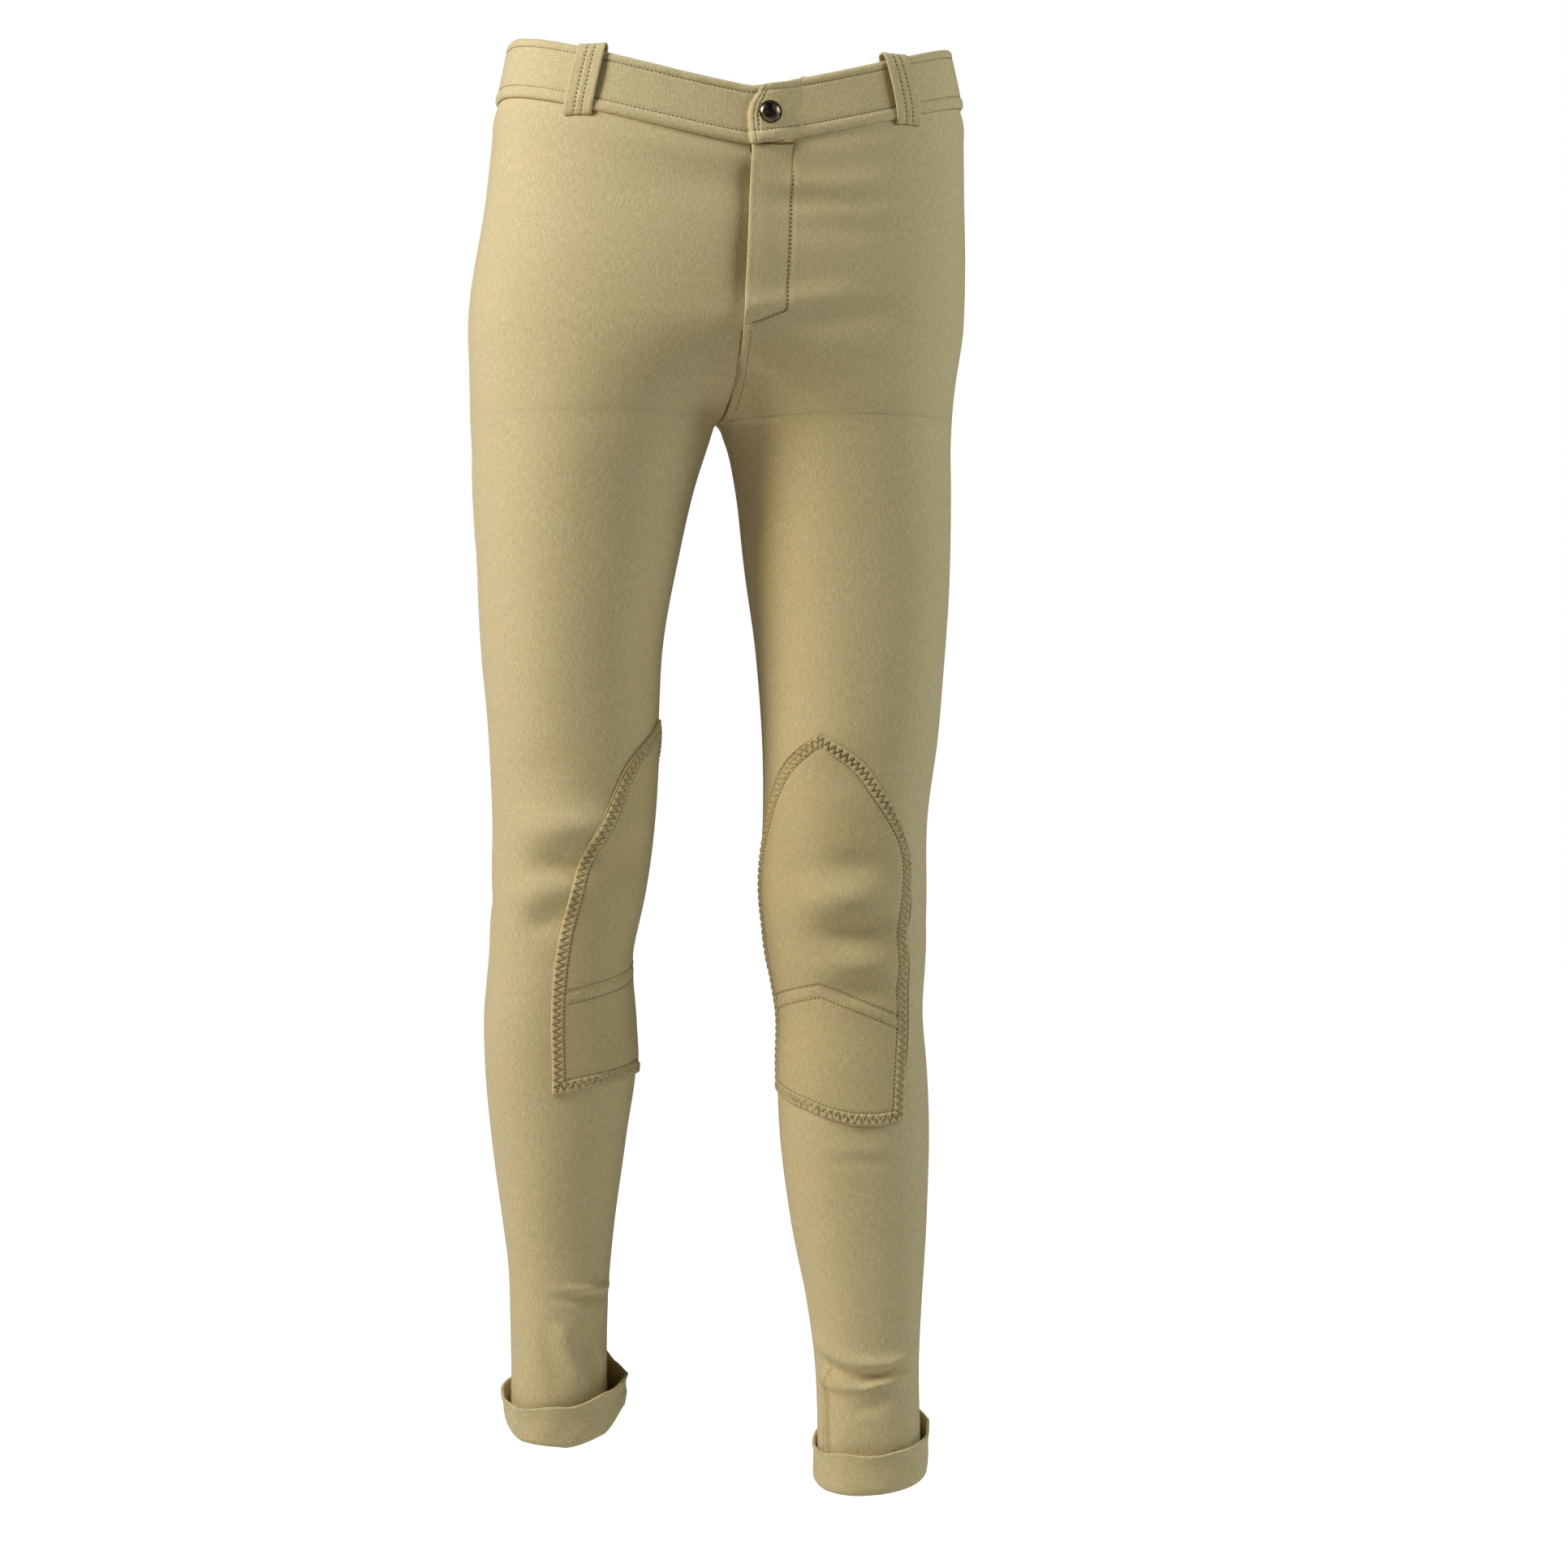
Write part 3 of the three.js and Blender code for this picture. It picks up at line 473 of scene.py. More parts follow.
def relief(side, phi, z):
    """Sum of the soft folds: a lump is h exp(-(s/a)^2 - (t/b)^2), and a crease h exp(-(d/w)^2) that fades out
    towards both ends of its line."""
    phi, z = np.broadcast_arrays(np.asarray(phi, float), np.asarray(z, float))
    round_it = girth(side, z)
    total = np.zeros(phi.shape)
    for height, a, level, wide, tall in LUMPS[side] + UNDER_SEAT:
        s = np.radians(turned(phi - a)) * round_it
        total += height * np.exp(-(s / wide) ** 2 - ((z - level) / tall) ** 2)
    for height, wide, line in CREASES[side] + SEAT_CREASES:
        middle = line[len(line) // 2][0]
        x = np.radians(turned(phi - middle)) * round_it
        points = [(math.radians(a - middle) * float(girth(side, np.array(b))), b) for a, b in line]
        gap, where, run = to_polyline(x, z, points)
        fade = smooth(where / (0.3 * run)) * smooth((run - where) / (0.3 * run))
        total += height * np.exp(-(gap / wide) ** 2) * fade
    slow = 0.35 * np.sin(z / 31 + phi / 40) * np.sin(np.radians(phi) * 2 + z / 47)
    return total + slow


def on_leg(side, phi, z, h=0.0):
    """A point of the cloth that stands h off the worn surface, folds included."""
    phi, z = np.broadcast_arrays(np.asarray(phi, float), np.asarray(z, float))
    lift = relief(side, phi, z) + np.asarray(h)
    return leg_surface(side, phi, z) + leg_normal(side, phi, z) * lift[..., None]


heights = relief(LEFT, np.linspace(-60, 60, 200)[None], np.linspace(-680, -480, 200)[:, None])
print("left knee's relief from", heights.min().round(2), "to", heights.max().round(2), "mm")

# %% [markdown]
# Every strip of cloth here is the same thing: an outer and an inner grid of points a layer apart, closed
# round its edges with a rolled rim. One helper makes them all. It also lays the UV map out in metres along
# the cloth, so a knit pattern keeps its true size wherever the cloth goes.

# %% Closed cloth from two grids
SHARP = math.radians(50)
ROLL = [(math.sin(math.pi * k / 5), math.cos(math.pi * k / 5)) for k in range(1, 5)]
PLAIN = []


def put(name, points, faces, uv=None):
    """Fills a mesh from arrays; faces that would point inwards as a whole are turned round."""
    p = np.asarray(points, float)
    a, b, c, d = (p[faces[:, k]] for k in range(4))
    volume = (a * np.cross(b, c)).sum() + (a * np.cross(c, d)).sum()
    if volume < 0:
        faces = faces[:, ::-1]
        uv = None if uv is None else uv[:, ::-1]
    mesh = bpy.data.meshes.new(name)
    mesh.vertices.add(len(p))
    mesh.vertices.foreach_set("co", (p * MM).astype(np.float32).ravel())
    mesh.loops.add(faces.size)
    mesh.loops.foreach_set("vertex_index", np.ascontiguousarray(faces, np.int32).ravel())
    mesh.polygons.add(len(faces))
    mesh.polygons.foreach_set("loop_start", np.arange(0, faces.size, 4, dtype=np.int32))
    mesh.update(calc_edges=True)
    if uv is not None:
        layer = mesh.uv_layers.new(name="cloth")
        layer.data.foreach_set("uv", np.ascontiguousarray(uv, np.float32).ravel())
    mesh.shade_smooth()
    mesh.set_sharp_from_angle(angle=SHARP)
    piece = bpy.data.objects.new(name, mesh)
    bpy.context.scene.collection.objects.link(piece)
    return piece


def lattice(rows, columns, close_rows=False, close_columns=False):
    """Quads of a grid as places in it; a closed direction counts one past its end."""
    i = np.arange(rows if close_rows else rows - 1)
    j = np.arange(columns if close_columns else columns - 1)
    i, j = (g.ravel() for g in np.meshgrid(i, j, indexing="ij"))
    return np.stack([i, i, i + 1, i + 1], 1), np.stack([j, j + 1, j + 1, j], 1)


def rim_points(edge_out, edge_in, beyond, profile):
    """Rim of a layer: middle + half thickness (cos of the turn across, sin of it outwards), or any profile of
    (outwards, across) pairs."""
    middle, half = (edge_out + edge_in) / 2, (edge_out - edge_in) / 2
    thick = np.linalg.norm(half, axis=-1, keepdims=True)
    away = unit(edge_out - beyond)
    return [middle + half * across + away * thick * out for out, across in profile]


def rolled(loop, at, near, profile):
    """Loops past an open end: middle + (place - middle) cos, moved out by half the thickness times sin."""
    middle = (loop + loop[:, ::-1]) / 2
    away = unit(middle[at] - middle[near])
    half = loop[at] - middle[at]
    thick = np.linalg.norm(half, axis=-1, keepdims=True)
    return [middle[at] + half * across + away * thick * out for out, across in profile]


def shell(name, outer, inner, closed=False, first=ROLL, last=ROLL, ends=ROLL):
    """Closed cloth: each row is a loop of outer points, a rim, inner points back and a rim. Open rows end in
    shrinking loops and a cap, and closed rows meet again."""
    left = rim_points(outer[:, 0], inner[:, 0], outer[:, 1], first)[::-1]
    right = rim_points(outer[:, -1], inner[:, -1], outer[:, -2], last)
    half = len(left) // 2
    loop = np.stack([*left[half:], *outer.transpose(1, 0, 2), *right,
                     *inner[:, ::-1].transpose(1, 0, 2), *left[:half]], 1)
    step = np.linalg.norm(np.diff(outer, axis=1), axis=-1)
    u = np.concatenate([np.zeros((len(outer), 1)), np.cumsum(step, 1)], 1)
    u = np.concatenate([u[:, :1].repeat(len(left) - half, 1), u, u[:, -1:].repeat(len(right), 1),
                        u[:, ::-1], u[:, :1].repeat(half, 1)], 1)
    nearby = np.roll(outer, -1, 0) if closed else outer[1:]
    v = np.concatenate([[0.0], np.cumsum(np.linalg.norm(nearby - outer[:len(nearby)], axis=-1).mean(1))])
    if closed:
        u = np.concatenate([u, u[:1]])
    else:
        rise = ends[:len(ends) // 2]
        start, finish = rolled(loop, 0, 1, rise)[::-1], rolled(loop, -1, -2, rise)
        loop = np.stack([*start, *loop, *finish])
        u = np.concatenate([u[:1].repeat(len(start), 0), u, u[-1:].repeat(len(finish), 0)])
        v = np.concatenate([v[:1].repeat(len(start)), v, v[-1:].repeat(len(finish))])
    count, around = loop.shape[:2]
    i, j = lattice(count, around, close_rows=closed, close_columns=True)
    faces = (i % count) * around + j % around
    uv = np.stack([u[i, j % around], v[i]], -1)
    if not closed:
        k = np.arange(around // 2 - 1)
        cap = np.stack([k, k + 1, around - 2 - k, around - 1 - k], 1)
        for row, quads in ((0, cap[:, ::-1]), (count - 1, cap)):
            faces = np.concatenate([faces, row * around + quads])
            uv = np.concatenate([uv, np.stack([u[row][quads], np.full(quads.shape, v[row])], -1)])
    return put(name, loop.reshape(-1, 3), faces, uv * MM)


# %% [markdown]
# The cloth is a fine two-way stretch knit: faint upright wales, closer cross rows, pale nubs of lint and a
# slow unevenness of dye. All of it is read from the UV map in metres, so one pattern fits every piece.
# Noise stretched along one axis gives threads that wander as real ones do, where a regular wave would
# shimmer.

# %% Finishes
def nodes_of(name, colour, roughness, **sockets):
    """A new material with its Principled shader's constants set on the shader itself."""
    made = bpy.data.materials.new(name)
    made.use_nodes = True
    shader = made.node_tree.nodes["Principled BSDF"]
    shader.inputs["Base Color"].default_value = (*colour, 1)
    shader.inputs["Roughness"].default_value = roughness
    for socket, value in sockets.items():
        shader.inputs[socket.replace("_", " ")].default_value = value
    return made, made.node_tree, shader


def noise(tree, source, stretch, scale, detail=2.0, turn=0.0):
    """Noise on a stretched copy of the coordinates."""
    coordinates = tree.nodes.new("ShaderNodeTexCoord")
    place = tree.nodes.new("ShaderNodeMapping")
    place.inputs["Scale"].default_value = stretch
    place.inputs["Rotation"].default_value = (0, 0, turn)
    pattern = tree.nodes.new("ShaderNodeTexNoise")
    pattern.inputs["Scale"].default_value = scale
    pattern.inputs["Detail"].default_value = detail
    tree.links.new(coordinates.outputs[source], place.inputs["Vector"])
    tree.links.new(place.outputs["Vector"], pattern.inputs["Vector"])
    return pattern.outputs["Fac"]


def ranged(tree, value, low, high, to_low=0.0, to_high=1.0):
    """Map Range: low..high to to_low..to_high, held at its ends."""
    node = tree.nodes.new("ShaderNodeMapRange")
    for k, number in enumerate((low, high, to_low, to_high), 1):
        node.inputs[k].default_value = number
    tree.links.new(value, node.inputs[0])
    return node.outputs[0]


def maths(tree, kind, a, b):
    """One Math node; each side is a number or a socket."""
    node = tree.nodes.new("ShaderNodeMath")
    node.operation = kind
    for socket, value in zip(node.inputs, (a, b)):
        if isinstance(value, (int, float)):
            socket.default_value = value
        else:
            tree.links.new(value, socket)
    return node.outputs[0]


def summed(tree, a, share_a, b, share_b):
    """Weighted sum of two sockets."""
    return maths(tree, "ADD", maths(tree, "MULTIPLY", a, share_a), maths(tree, "MULTIPLY", b, share_b))


def mixed(tree, factor, a, b):
    """Mix of two colours, each a colour or a socket."""
    node = tree.nodes.new("ShaderNodeMix")
    node.data_type = "RGBA"
    tree.links.new(factor, node.inputs[0])
    for socket, value in ((node.inputs[6], a), (node.inputs[7], b)):
        if isinstance(value, tuple):
            socket.default_value = (*value, 1)
        else:
            tree.links.new(value, socket)
    return node.outputs[2]


def tinted(colour, factor, more=0.0):
    """A colour times a factor plus a little, no channel over 1."""
    return tuple(min(1, c * factor + more) for c in colour)


def bumped(tree, shader, height, distance, strength=1.0):
    """Gives the shader a bump of the height's socket."""
    node = tree.nodes.new("ShaderNodeBump")
    node.inputs["Strength"].default_value = strength
    node.inputs["Distance"].default_value = distance
    tree.links.new(height, node.inputs["Height"])
    tree.links.new(node.outputs["Normal"], shader.inputs["Normal"])


def knit(name, colour, wale=0.0011, row=0.0008, depth=0.00035, contrast=0.16):
    """Knitted cloth: wales and rows at their pitches, nubs, and two slow unevennesses."""
    made, tree, shader = nodes_of(name, colour, 0.9, Sheen_Weight=0.25, Sheen_Roughness=0.55,
                                  Specular_IOR_Level=0.2)
    wales = noise(tree, "UV", (1 / wale, 0.22 / wale, 1), 1.0, 1.5)
    rows = noise(tree, "UV", (0.28 / row, 1 / row, 1), 1.0, 1.5)
    nubs = ranged(tree, noise(tree, "UV", (1, 1, 1), 520.0, 1.0), 0.66, 0.78)
    slow = noise(tree, "UV", (1, 1.6, 1), 26.0, 3.0)
    patchy = noise(tree, "UV", (1.4, 1, 1), 150.0, 3.0)
    yarn = summed(tree, wales, 0.5, rows, 0.5)
    dark, light = tinted(colour, 1 - contrast), tinted(colour, 1 + contrast)
    base = mixed(tree, ranged(tree, yarn, 0.36, 0.64), dark, light)
    warm = tuple(c * k for c, k in zip(colour, (0.97, 0.93, 0.84)))
    base = mixed(tree, ranged(tree, slow, 0.35, 0.7, 0, 0.35), base, warm)
    base = mixed(tree, ranged(tree, patchy, 0.4, 0.75, 0, 0.22), base, dark)
    base = mixed(tree, maths(tree, "MULTIPLY", nubs, 0.45), base, tinted(colour, 1.25, 0.04))
    tree.links.new(base, shader.inputs["Base Color"])
    bumped(tree, shader, maths(tree, "ADD", yarn, maths(tree, "MULTIPLY", nubs, 0.5)), depth)
    return made


def metal(name, dark, light, roughness):
    """Plated brass, dulled unevenly: colour and roughness both follow a fine noise."""
    made, tree, shader = nodes_of(name, dark, roughness, Metallic=1.0, Coat_Weight=0.3, Coat_Roughness=0.12)
    worn = noise(tree, "Object", (1, 1, 1), 420.0, 4.0)
    tree.links.new(mixed(tree, ranged(tree, worn, 0.4, 0.68), dark, light), shader.inputs["Base Color"])
    tree.links.new(ranged(tree, worn, 0.3, 0.7, roughness * 0.75, roughness * 1.5),
                   shader.inputs["Roughness"])
    bumped(tree, shader, worn, 0.00004)
    return made


def twill(name, colour, pitch, depth):
    """Woven tape, satin or sewing thread: slanted ribs at one pitch over a finer grain."""
    made, tree, shader = nodes_of(name, colour, 0.7, Sheen_Weight=0.15, Specular_IOR_Level=0.3)
    ribs = noise(tree, "UV", (0.25 / pitch, 1 / pitch, 1), 1.0, 1.0, turn=0.5)
    grain = noise(tree, "UV", (1, 1, 1), 0.5 / pitch, 2.0)
    both = summed(tree, ribs, 0.7, grain, 0.3)
    dim, pale = tinted(colour, 0.72), tinted(colour, 1.25)
    tree.links.new(mixed(tree, ranged(tree, both, 0.35, 0.65), dim, pale), shader.inputs["Base Color"])
    bumped(tree, shader, both, depth)
    return made


CREAM, PATCH_CREAM = (0.64, 0.525, 0.285), (0.60, 0.485, 0.25)
cream_knit = knit("cream knit", CREAM)
band_knit = knit("band knit", CREAM, wale=0.0013, row=0.0013, depth=0.00045, contrast=0.13)
patch_knit = knit("patch knit", PATCH_CREAM, wale=0.0012, row=0.0009, depth=0.0004)
# The sewing thread is made far darker than the cloth. This is painted shade: its colour stands for the shadow in the
# stitch holes and grooves, and the real thread is close to the cloth's own tone.
thread = twill("sewing thread", (0.18, 0.135, 0.062), 0.0006, 0.0001)
edge_thread = twill("edge thread", (0.42, 0.335, 0.165), 0.0006, 0.0001)
tape_cloth = twill("zip tape", (0.17, 0.095, 0.05), 0.0009, 0.0002)
label_satin = twill("label satin", (0.74, 0.71, 0.64), 0.0005, 0.00006)
snap_metal = metal("antique snap metal", (0.13, 0.1, 0.065), (0.24, 0.185, 0.12), 0.27)
inner_metal = metal("snap brass", (0.32, 0.24, 0.12), (0.5, 0.38, 0.2), 0.32)
zip_metal = metal("zip brass", (0.2, 0.125, 0.06), (0.36, 0.24, 0.12), 0.34)


def finish(piece, material, slot):
    """Gives a piece its finish and the record's slot name."""
    piece.data.materials.clear()
    piece.data.materials.append(material)
    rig.slot(piece, slot)
    return piece


def settle(piece, material, slot, body, *nodes):
    """Finish of a piece, the body that it rides on and the frame's nodes that it stands for."""
    finish(piece, material, slot)
    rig.ride(piece, body)
    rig.replaces(piece, *nodes)


print("finishes:", len(bpy.data.materials))

# %% [markdown]
# Four panels make the trousers. In the frame each is cut at the knee so that the shin can swing, but cloth
# is one piece from waist to ankle, so each panel here is one grid: rows run down the leg, columns from the
# side seam to the centre seam or the inseam. Columns crowd towards the seams, where the cloth dips into a
# narrow groove.

# %% Panel outlines
CUFF = {                    # angle, height of the rim and of the fold, how far the rim and the fold stand off
    RIGHT: np.array([[0, -935, -964, 5, 3], [50, -937, -960, 4, 2.5], [100, -930, -950, 5, 3],
                     [140, -922, -949, 5, 3], [180, -914, -947, 7, 4], [226, -902, -945, 8, 6],
                     [246, -911, -942, 9.5, 9], [264, -918, -940, 13, 12.5], [292, -917, -942, 12, 10],
                     [320, -926, -956, 8, 5], [360, -935, -964, 5, 3]], float),
    LEFT: np.array([[0, -963, -990, 3, 2.8], [60, -954, -982, 3.5, 2.8], [90, -944, -974, 5, 4],
                    [120, -940, -972, 5.5, 4], [150, -945, -973, 4, 3], [210, -951, -977, 3.5, 2.8],
                    [262, -961, -986, 1.6, 2], [300, -963, -990, 2, 2.4], [360, -963, -990, 3, 2.8]], float)}


def round_leg(table, column, phi):
    """A cuff's value by angle: cosine steps between the table's angles, so that there is no kink."""
    a = np.asarray(phi, float) % 360
    i = np.clip(np.searchsorted(table[:, 0], a, side="right") - 1, 0, len(table) - 2)
    t = (a - table[i, 0]) / (table[i + 1, 0] - table[i, 0])
    return table[i, column] + (table[i + 1, column] - table[i, column]) * (0.6 * smooth(t) + 0.4 * t)


def panel_wall(side, back, z):
    """Sideways place of a panel's edge: the centre seam, or the fly's own outlines above its end."""
    seam = centre_x(z) + side * 0.2
    if back:
        return seam
    if side == RIGHT:
        gape = 3.2 * smooth((z + 91) / 9)
        return centre_x(z) + np.interp(z, [-204, -200], [-0.2, 1.5]) - gape
    return centre_x(z) + np.interp(z, [FLY_END, FLY_CORNER], [0.2, FLY_WIDTH + 0.3])


def end_angle(side, z, wall, back):
    """Angle where the section at z meets the plane x = wall, by halving, or the inseam if it comes first."""
    seam = between(INSEAM[side], z)
    finish_at = seam + (360 if back else 0)
    start = np.full(z.shape, 180.0 if back else 0.0)
    tries = start[:, None] + (finish_at - start)[:, None] * np.linspace(0, 1, 49)
    crosses = (leg_surface(side, tries, z[:, None])[..., 0] - wall[:, None]) * side < 0
    hit = crosses.argmax(1)
    found = crosses.any(1) & (hit > 0)
    rows = np.arange(len(z))
    short_of = lambda phi: (leg_surface(side, phi, z)[:, 0] - wall) * side >= 0
    last = halved(short_of, tries[rows, np.maximum(hit - 1, 0)], tries[rows, hit], 24)
    return np.where(found, last, finish_at), found


def panel_top(side, phi):
    """Height of the panel's top edge, 3 mm up between the band's two layers."""
    z = np.full(np.shape(phi), NAVEL_Z)
    for _ in range(5):
        p = leg_surface(side, phi, z)
        z = band_top(np.degrees(np.arctan2(p[..., 0] - 1, -p[..., 1]))) - BAND_HEIGHT + 3
    return z


COLUMNS = 84
share = np.linspace(0, 1, COLUMNS)
SHARES = share - 0.78 * np.sin(2 * np.pi * share) / (2 * np.pi)
HEIGHTS = {side: np.concatenate([
    np.linspace(-70, FLY_CORNER, 48)[:-1], np.arange(FLY_CORNER, -204, -1.0), np.arange(-204, -244, -2.5),
    np.arange(-244, -263, -1.0), np.linspace(-263, KNEE_TOP, 76)[:-1],
    np.linspace(KNEE_TOP, KNEE_FOOT, 72)[:-1], np.linspace(KNEE_FOOT, -838, 54)[:-1],
    np.linspace(-838, FOLD[side], 72)]) for side in (RIGHT, LEFT)}
WORD = {RIGHT: "right", LEFT: "left"}
print("panel rows", {WORD[side]: len(rows) for side, rows in HEIGHTS.items()}, "columns", COLUMNS)


# %% Panels
FLAP_TOP = front_band_top(0.0) - BAND_HEIGHT - 0.5


def groove(gap, depth=0.85, wide=1.25):
    """A seam's dip with the seam allowance's ridge beside it: -d exp(-(g/w)^2) + e exp(-((g-4)/2)^2)."""
    return -depth * np.exp(-(gap / wide) ** 2) + 0.22 * np.exp(-((gap - 4) / 2) ** 2)


def make_panel(name, side, back):
    """The worn surface between two seams, with folds, grooves and a swell under the band."""
    nominal = HEIGHTS[side]
    q = np.clip((nominal + 70) / (FLY_CORNER + 70), 0, 1)
    z_end = nominal.copy()
    for _ in range(3):
        end, at_centre = end_angle(side, z_end, panel_wall(side, back, z_end), back)
        top = panel_top(side, end[q < 1])
        z_end[q < 1] = top + (FLY_CORNER - top) * q[q < 1]
    inset = -0.2 if back else 0.2
    end = np.where(at_centre, end, end + inset)
    start = OUTSEAM - inset
    phi = start + (end - start)[:, None] * SHARES
    z = np.repeat(nominal[:, None], COLUMNS, 1)
    upper = q < 1
    tops = panel_top(side, phi[upper])
    z[upper] = tops + (FLY_CORNER - tops) * q[upper][:, None]
    low_from = FOLD[side] + CUFF_REACH
    target = round_leg(CUFF[side], 2, phi) + 3.5
    z = z + (target - FOLD[side]) * smooth((low_from - z) / CUFF_REACH) * (nominal < low_from)[:, None]
    base, out = leg_surface(side, phi, z), leg_normal(side, phi, z)
    step = np.linalg.norm(np.diff(base, axis=1), axis=-1)
    run = np.concatenate([np.zeros((len(z), 1)), np.cumsum(step, 1)], 1)
    below = np.where(upper[:, None], z[:1] - 3 - z, 200.0)
    swell = 1.0 * np.exp(-((below - 13) / 9) ** 2) - 0.5 * np.exp(-((below - 1) / 4) ** 2)
    lift = relief(side, phi, z) + swell
    far = run[:, -1:] - run
    open_edge = (not back and side == RIGHT) & (nominal > FLY_END)[:, None]
    turned_in = smooth((nominal - FLY_END) / 40) * smooth((FLAP_TOP - nominal) / 14)
    lift = lift - np.where(open_edge, 3.0 * np.exp(-(far / 11) ** 2) * turned_in[:, None], 0)
    dips = groove(run) + np.where(open_edge, 0, groove(far, 0.3 if not back else 0.85))
    outer = base + out * (lift + dips)[..., None]
    inner = base + out * (lift - CLOTH - 0.2)[..., None]
    return finish(shell(name, outer, inner, ends=PLAIN), cream_knit, "stretch_knit")


def knee_line(side):
    """The two ends of the stretch of leg that bends, on the leg's own middle line, in metres."""
    start, end = (metres(np.append(along(LEGS[side], np.array(z))[:2], z)) for z in (KNEE_TOP, KNEE_FOOT))
    return {"start": start, "end": end}


def bend(piece, side):
    """Lets a piece bend at the knee, from the root to the shin."""
    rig.blend(piece, "root", f"{WORD[side]}_shin", **knee_line(side))


for side in (RIGHT, LEFT):
    for back in (False, True):
        name = f"{WORD[side]}_{'back' if back else 'front'}_panel"
        piece = make_panel(name, side, back)
        bend(piece, side)
        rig.replaces(piece, *[f"{name}_{part}" for part in ("thigh", "knee", "shin")])
        print(name, len(piece.data.polygons), "faces")

# %% [markdown]
# The waistband is one strip of cloth folded over at the top, with the panels sewn in between its layers.
# Its profile is drawn once, as how far down and how far off the body each point lies, and carried round
# the waist. A second row of stitches above the bottom seam draws in a raised strip like piping, which
# catches the light.

# %% Waistband
def curve_through(points, count):
    """Catmull-Rom through points, evenly by length: half the sum of the usual four weighted neighbours."""
    p = np.asarray(points, float)
    p = np.concatenate([2 * p[:1] - p[1:2], p, 2 * p[-1:] - p[-2:-1]])
    t = np.linspace(0, 1, 13)[:-1, None]
    a, b, c, d = p[:-3, None], p[1:-2, None], p[2:-1, None], p[3:, None]
    fine = 0.5 * (2 * b + (c - a) * t + (2 * a - 5 * b + 4 * c - d) * t**2 + (3 * b - a - 3 * c + d) * t**3)
    fine = np.concatenate([fine.reshape(-1, p.shape[1]), p[-2:-1]])
    run = run_of(fine)
    return read_at(fine, run, np.linspace(0, run[-1], count))


TOP_ROW, PIPE_ROW = 5.5, 32.0
BAND_FACE = [(40, 0.9), (39.3, 1.9), (37.6, 2.5), (35, 2.6), (33.2, 2.2), (32.4, 1.3), (31.7, 1.2),
             (30.8, 1.7), (28, 1.75), (20, 1.7), (10, 1.7), (7, 1.85), (6.1, 1.5), (5.5, 1.1), (4.9, 1.5),
             (3.6, 2.0), (1.6, 1.9), (0.3, 1.2), (-0.3, 0.1)]
BAND_BACK = [(-0.4, -1.0), (0.1, -2.1), (1.6, -2.7), (4.2, -2.8), (5.5, -2.5), (7, -2.8), (20, -2.8),
             (31, -2.8), (32, -2.5), (33, -2.8), (39.6, -2.7)]
BAND_POINTS = 72
band_profile = curve_through(BAND_FACE + BAND_BACK, BAND_POINTS)
fold_share = np.clip((np.arange(BAND_POINTS) / (BAND_POINTS - 1) - 0.44) / 0.12, 0, 1)
band_inside = np.stack([np.maximum(band_profile[:, 0], 1.4), 0.35 - 1.85 * smooth(fold_share)], 1)


def on_band(psi, down, h):
    """A point of the band by plan angle, distance below the top edge and height off the body."""
    psi, down, h = np.broadcast_arrays(psi, down, h)
    ripple = 0.35 * np.sin(np.radians(psi) * 17) + 0.25 * np.sin(np.radians(psi) * 31 + 1)
    return off(trunk_surface, psi, band_top(psi) - down, h + ripple * 0.5 * smooth(1 - down / 30))


band_start, band_end = float(plan_angle(UNDERLAP, NAVEL_Z)), float(plan_angle(TAB_FOLD, NAVEL_Z)) - 360
turns = np.linspace(band_start, band_end, 440)[:, None]
band = shell("waistband", on_band(turns, *band_profile.T), on_band(turns, *band_inside.T), ends=PLAIN)
settle(band, band_knit, "stretch_knit", "root", "waistband_outer", "waistband_facing")
print("waistband", len(band.data.polygons), "faces, profile of", len(band_profile), "points")

# %% [markdown]
# At the wearer's left the band runs on as a tab that laps over its other end. It rises over the snap, so
# its height off the body is read by distance from the fold. Its two layers meet at the free end as two
# rolled edges with a dark line between them; a rim profile with two bumps gives that without any extra
# piece.

# %% Snap tab
TAB_RISE = [(0, 0), (4, 0.7), (8, 1.8), (12, 3.1), (16, 4.2), (20, 4.8), (28, 4.8), (30, 4.4), (35, 3.4)]
TAB_UNDER = [(0, 0), (6, 1.8), (12, 5.6), (16, 6.4), (28, 6.4), (30, 5.7), (35, 4.7)]
TAB_END = [(0, 8.5), (6, 4.3), (13, 0), (20, -1.8), (30, -1.4), (40, 0)]
TAB_RIM = [(0.45, 0.93), (0.66, 0.68), (0.45, 0.36), (-0.6, 0.16), (-0.4, -0.04), (1.0, -0.24), (1.45, -0.6),
           (1.0, -0.95)]
EDGE_ROW, EDGE_LINE = 4.8, 2.0


def outer_face(down):
    """The band's outer height by distance below the top edge."""
    face = np.array(sorted(BAND_FACE))
    return np.interp(down, face[:, 0], face[:, 1])


def tab_place(down, x):
    """Outer and inner points of the tab at a distance below the top edge and a sideways place."""
    gap = TAB_FOLD - x
    end = TAB_FOLD - between(TAB_END, down)
    seam = -0.5 * np.exp(-((end - gap - EDGE_ROW) / 0.8) ** 2)
    seam = seam * smooth((down - 3) / 3) * smooth((35 - down) / 3)
    seam = seam - 0.7 * np.exp(-((end - gap - EDGE_LINE) / 0.45) ** 2)
    rise = outer_face(np.clip(down, 1.6, 38.8)) + between(TAB_RISE, gap) + seam
    under = -2.75 + between(TAB_UNDER, gap)
    z = front_band_top(x) - down
    return off(front_surface, x, z, rise), off(front_surface, x, z, under)


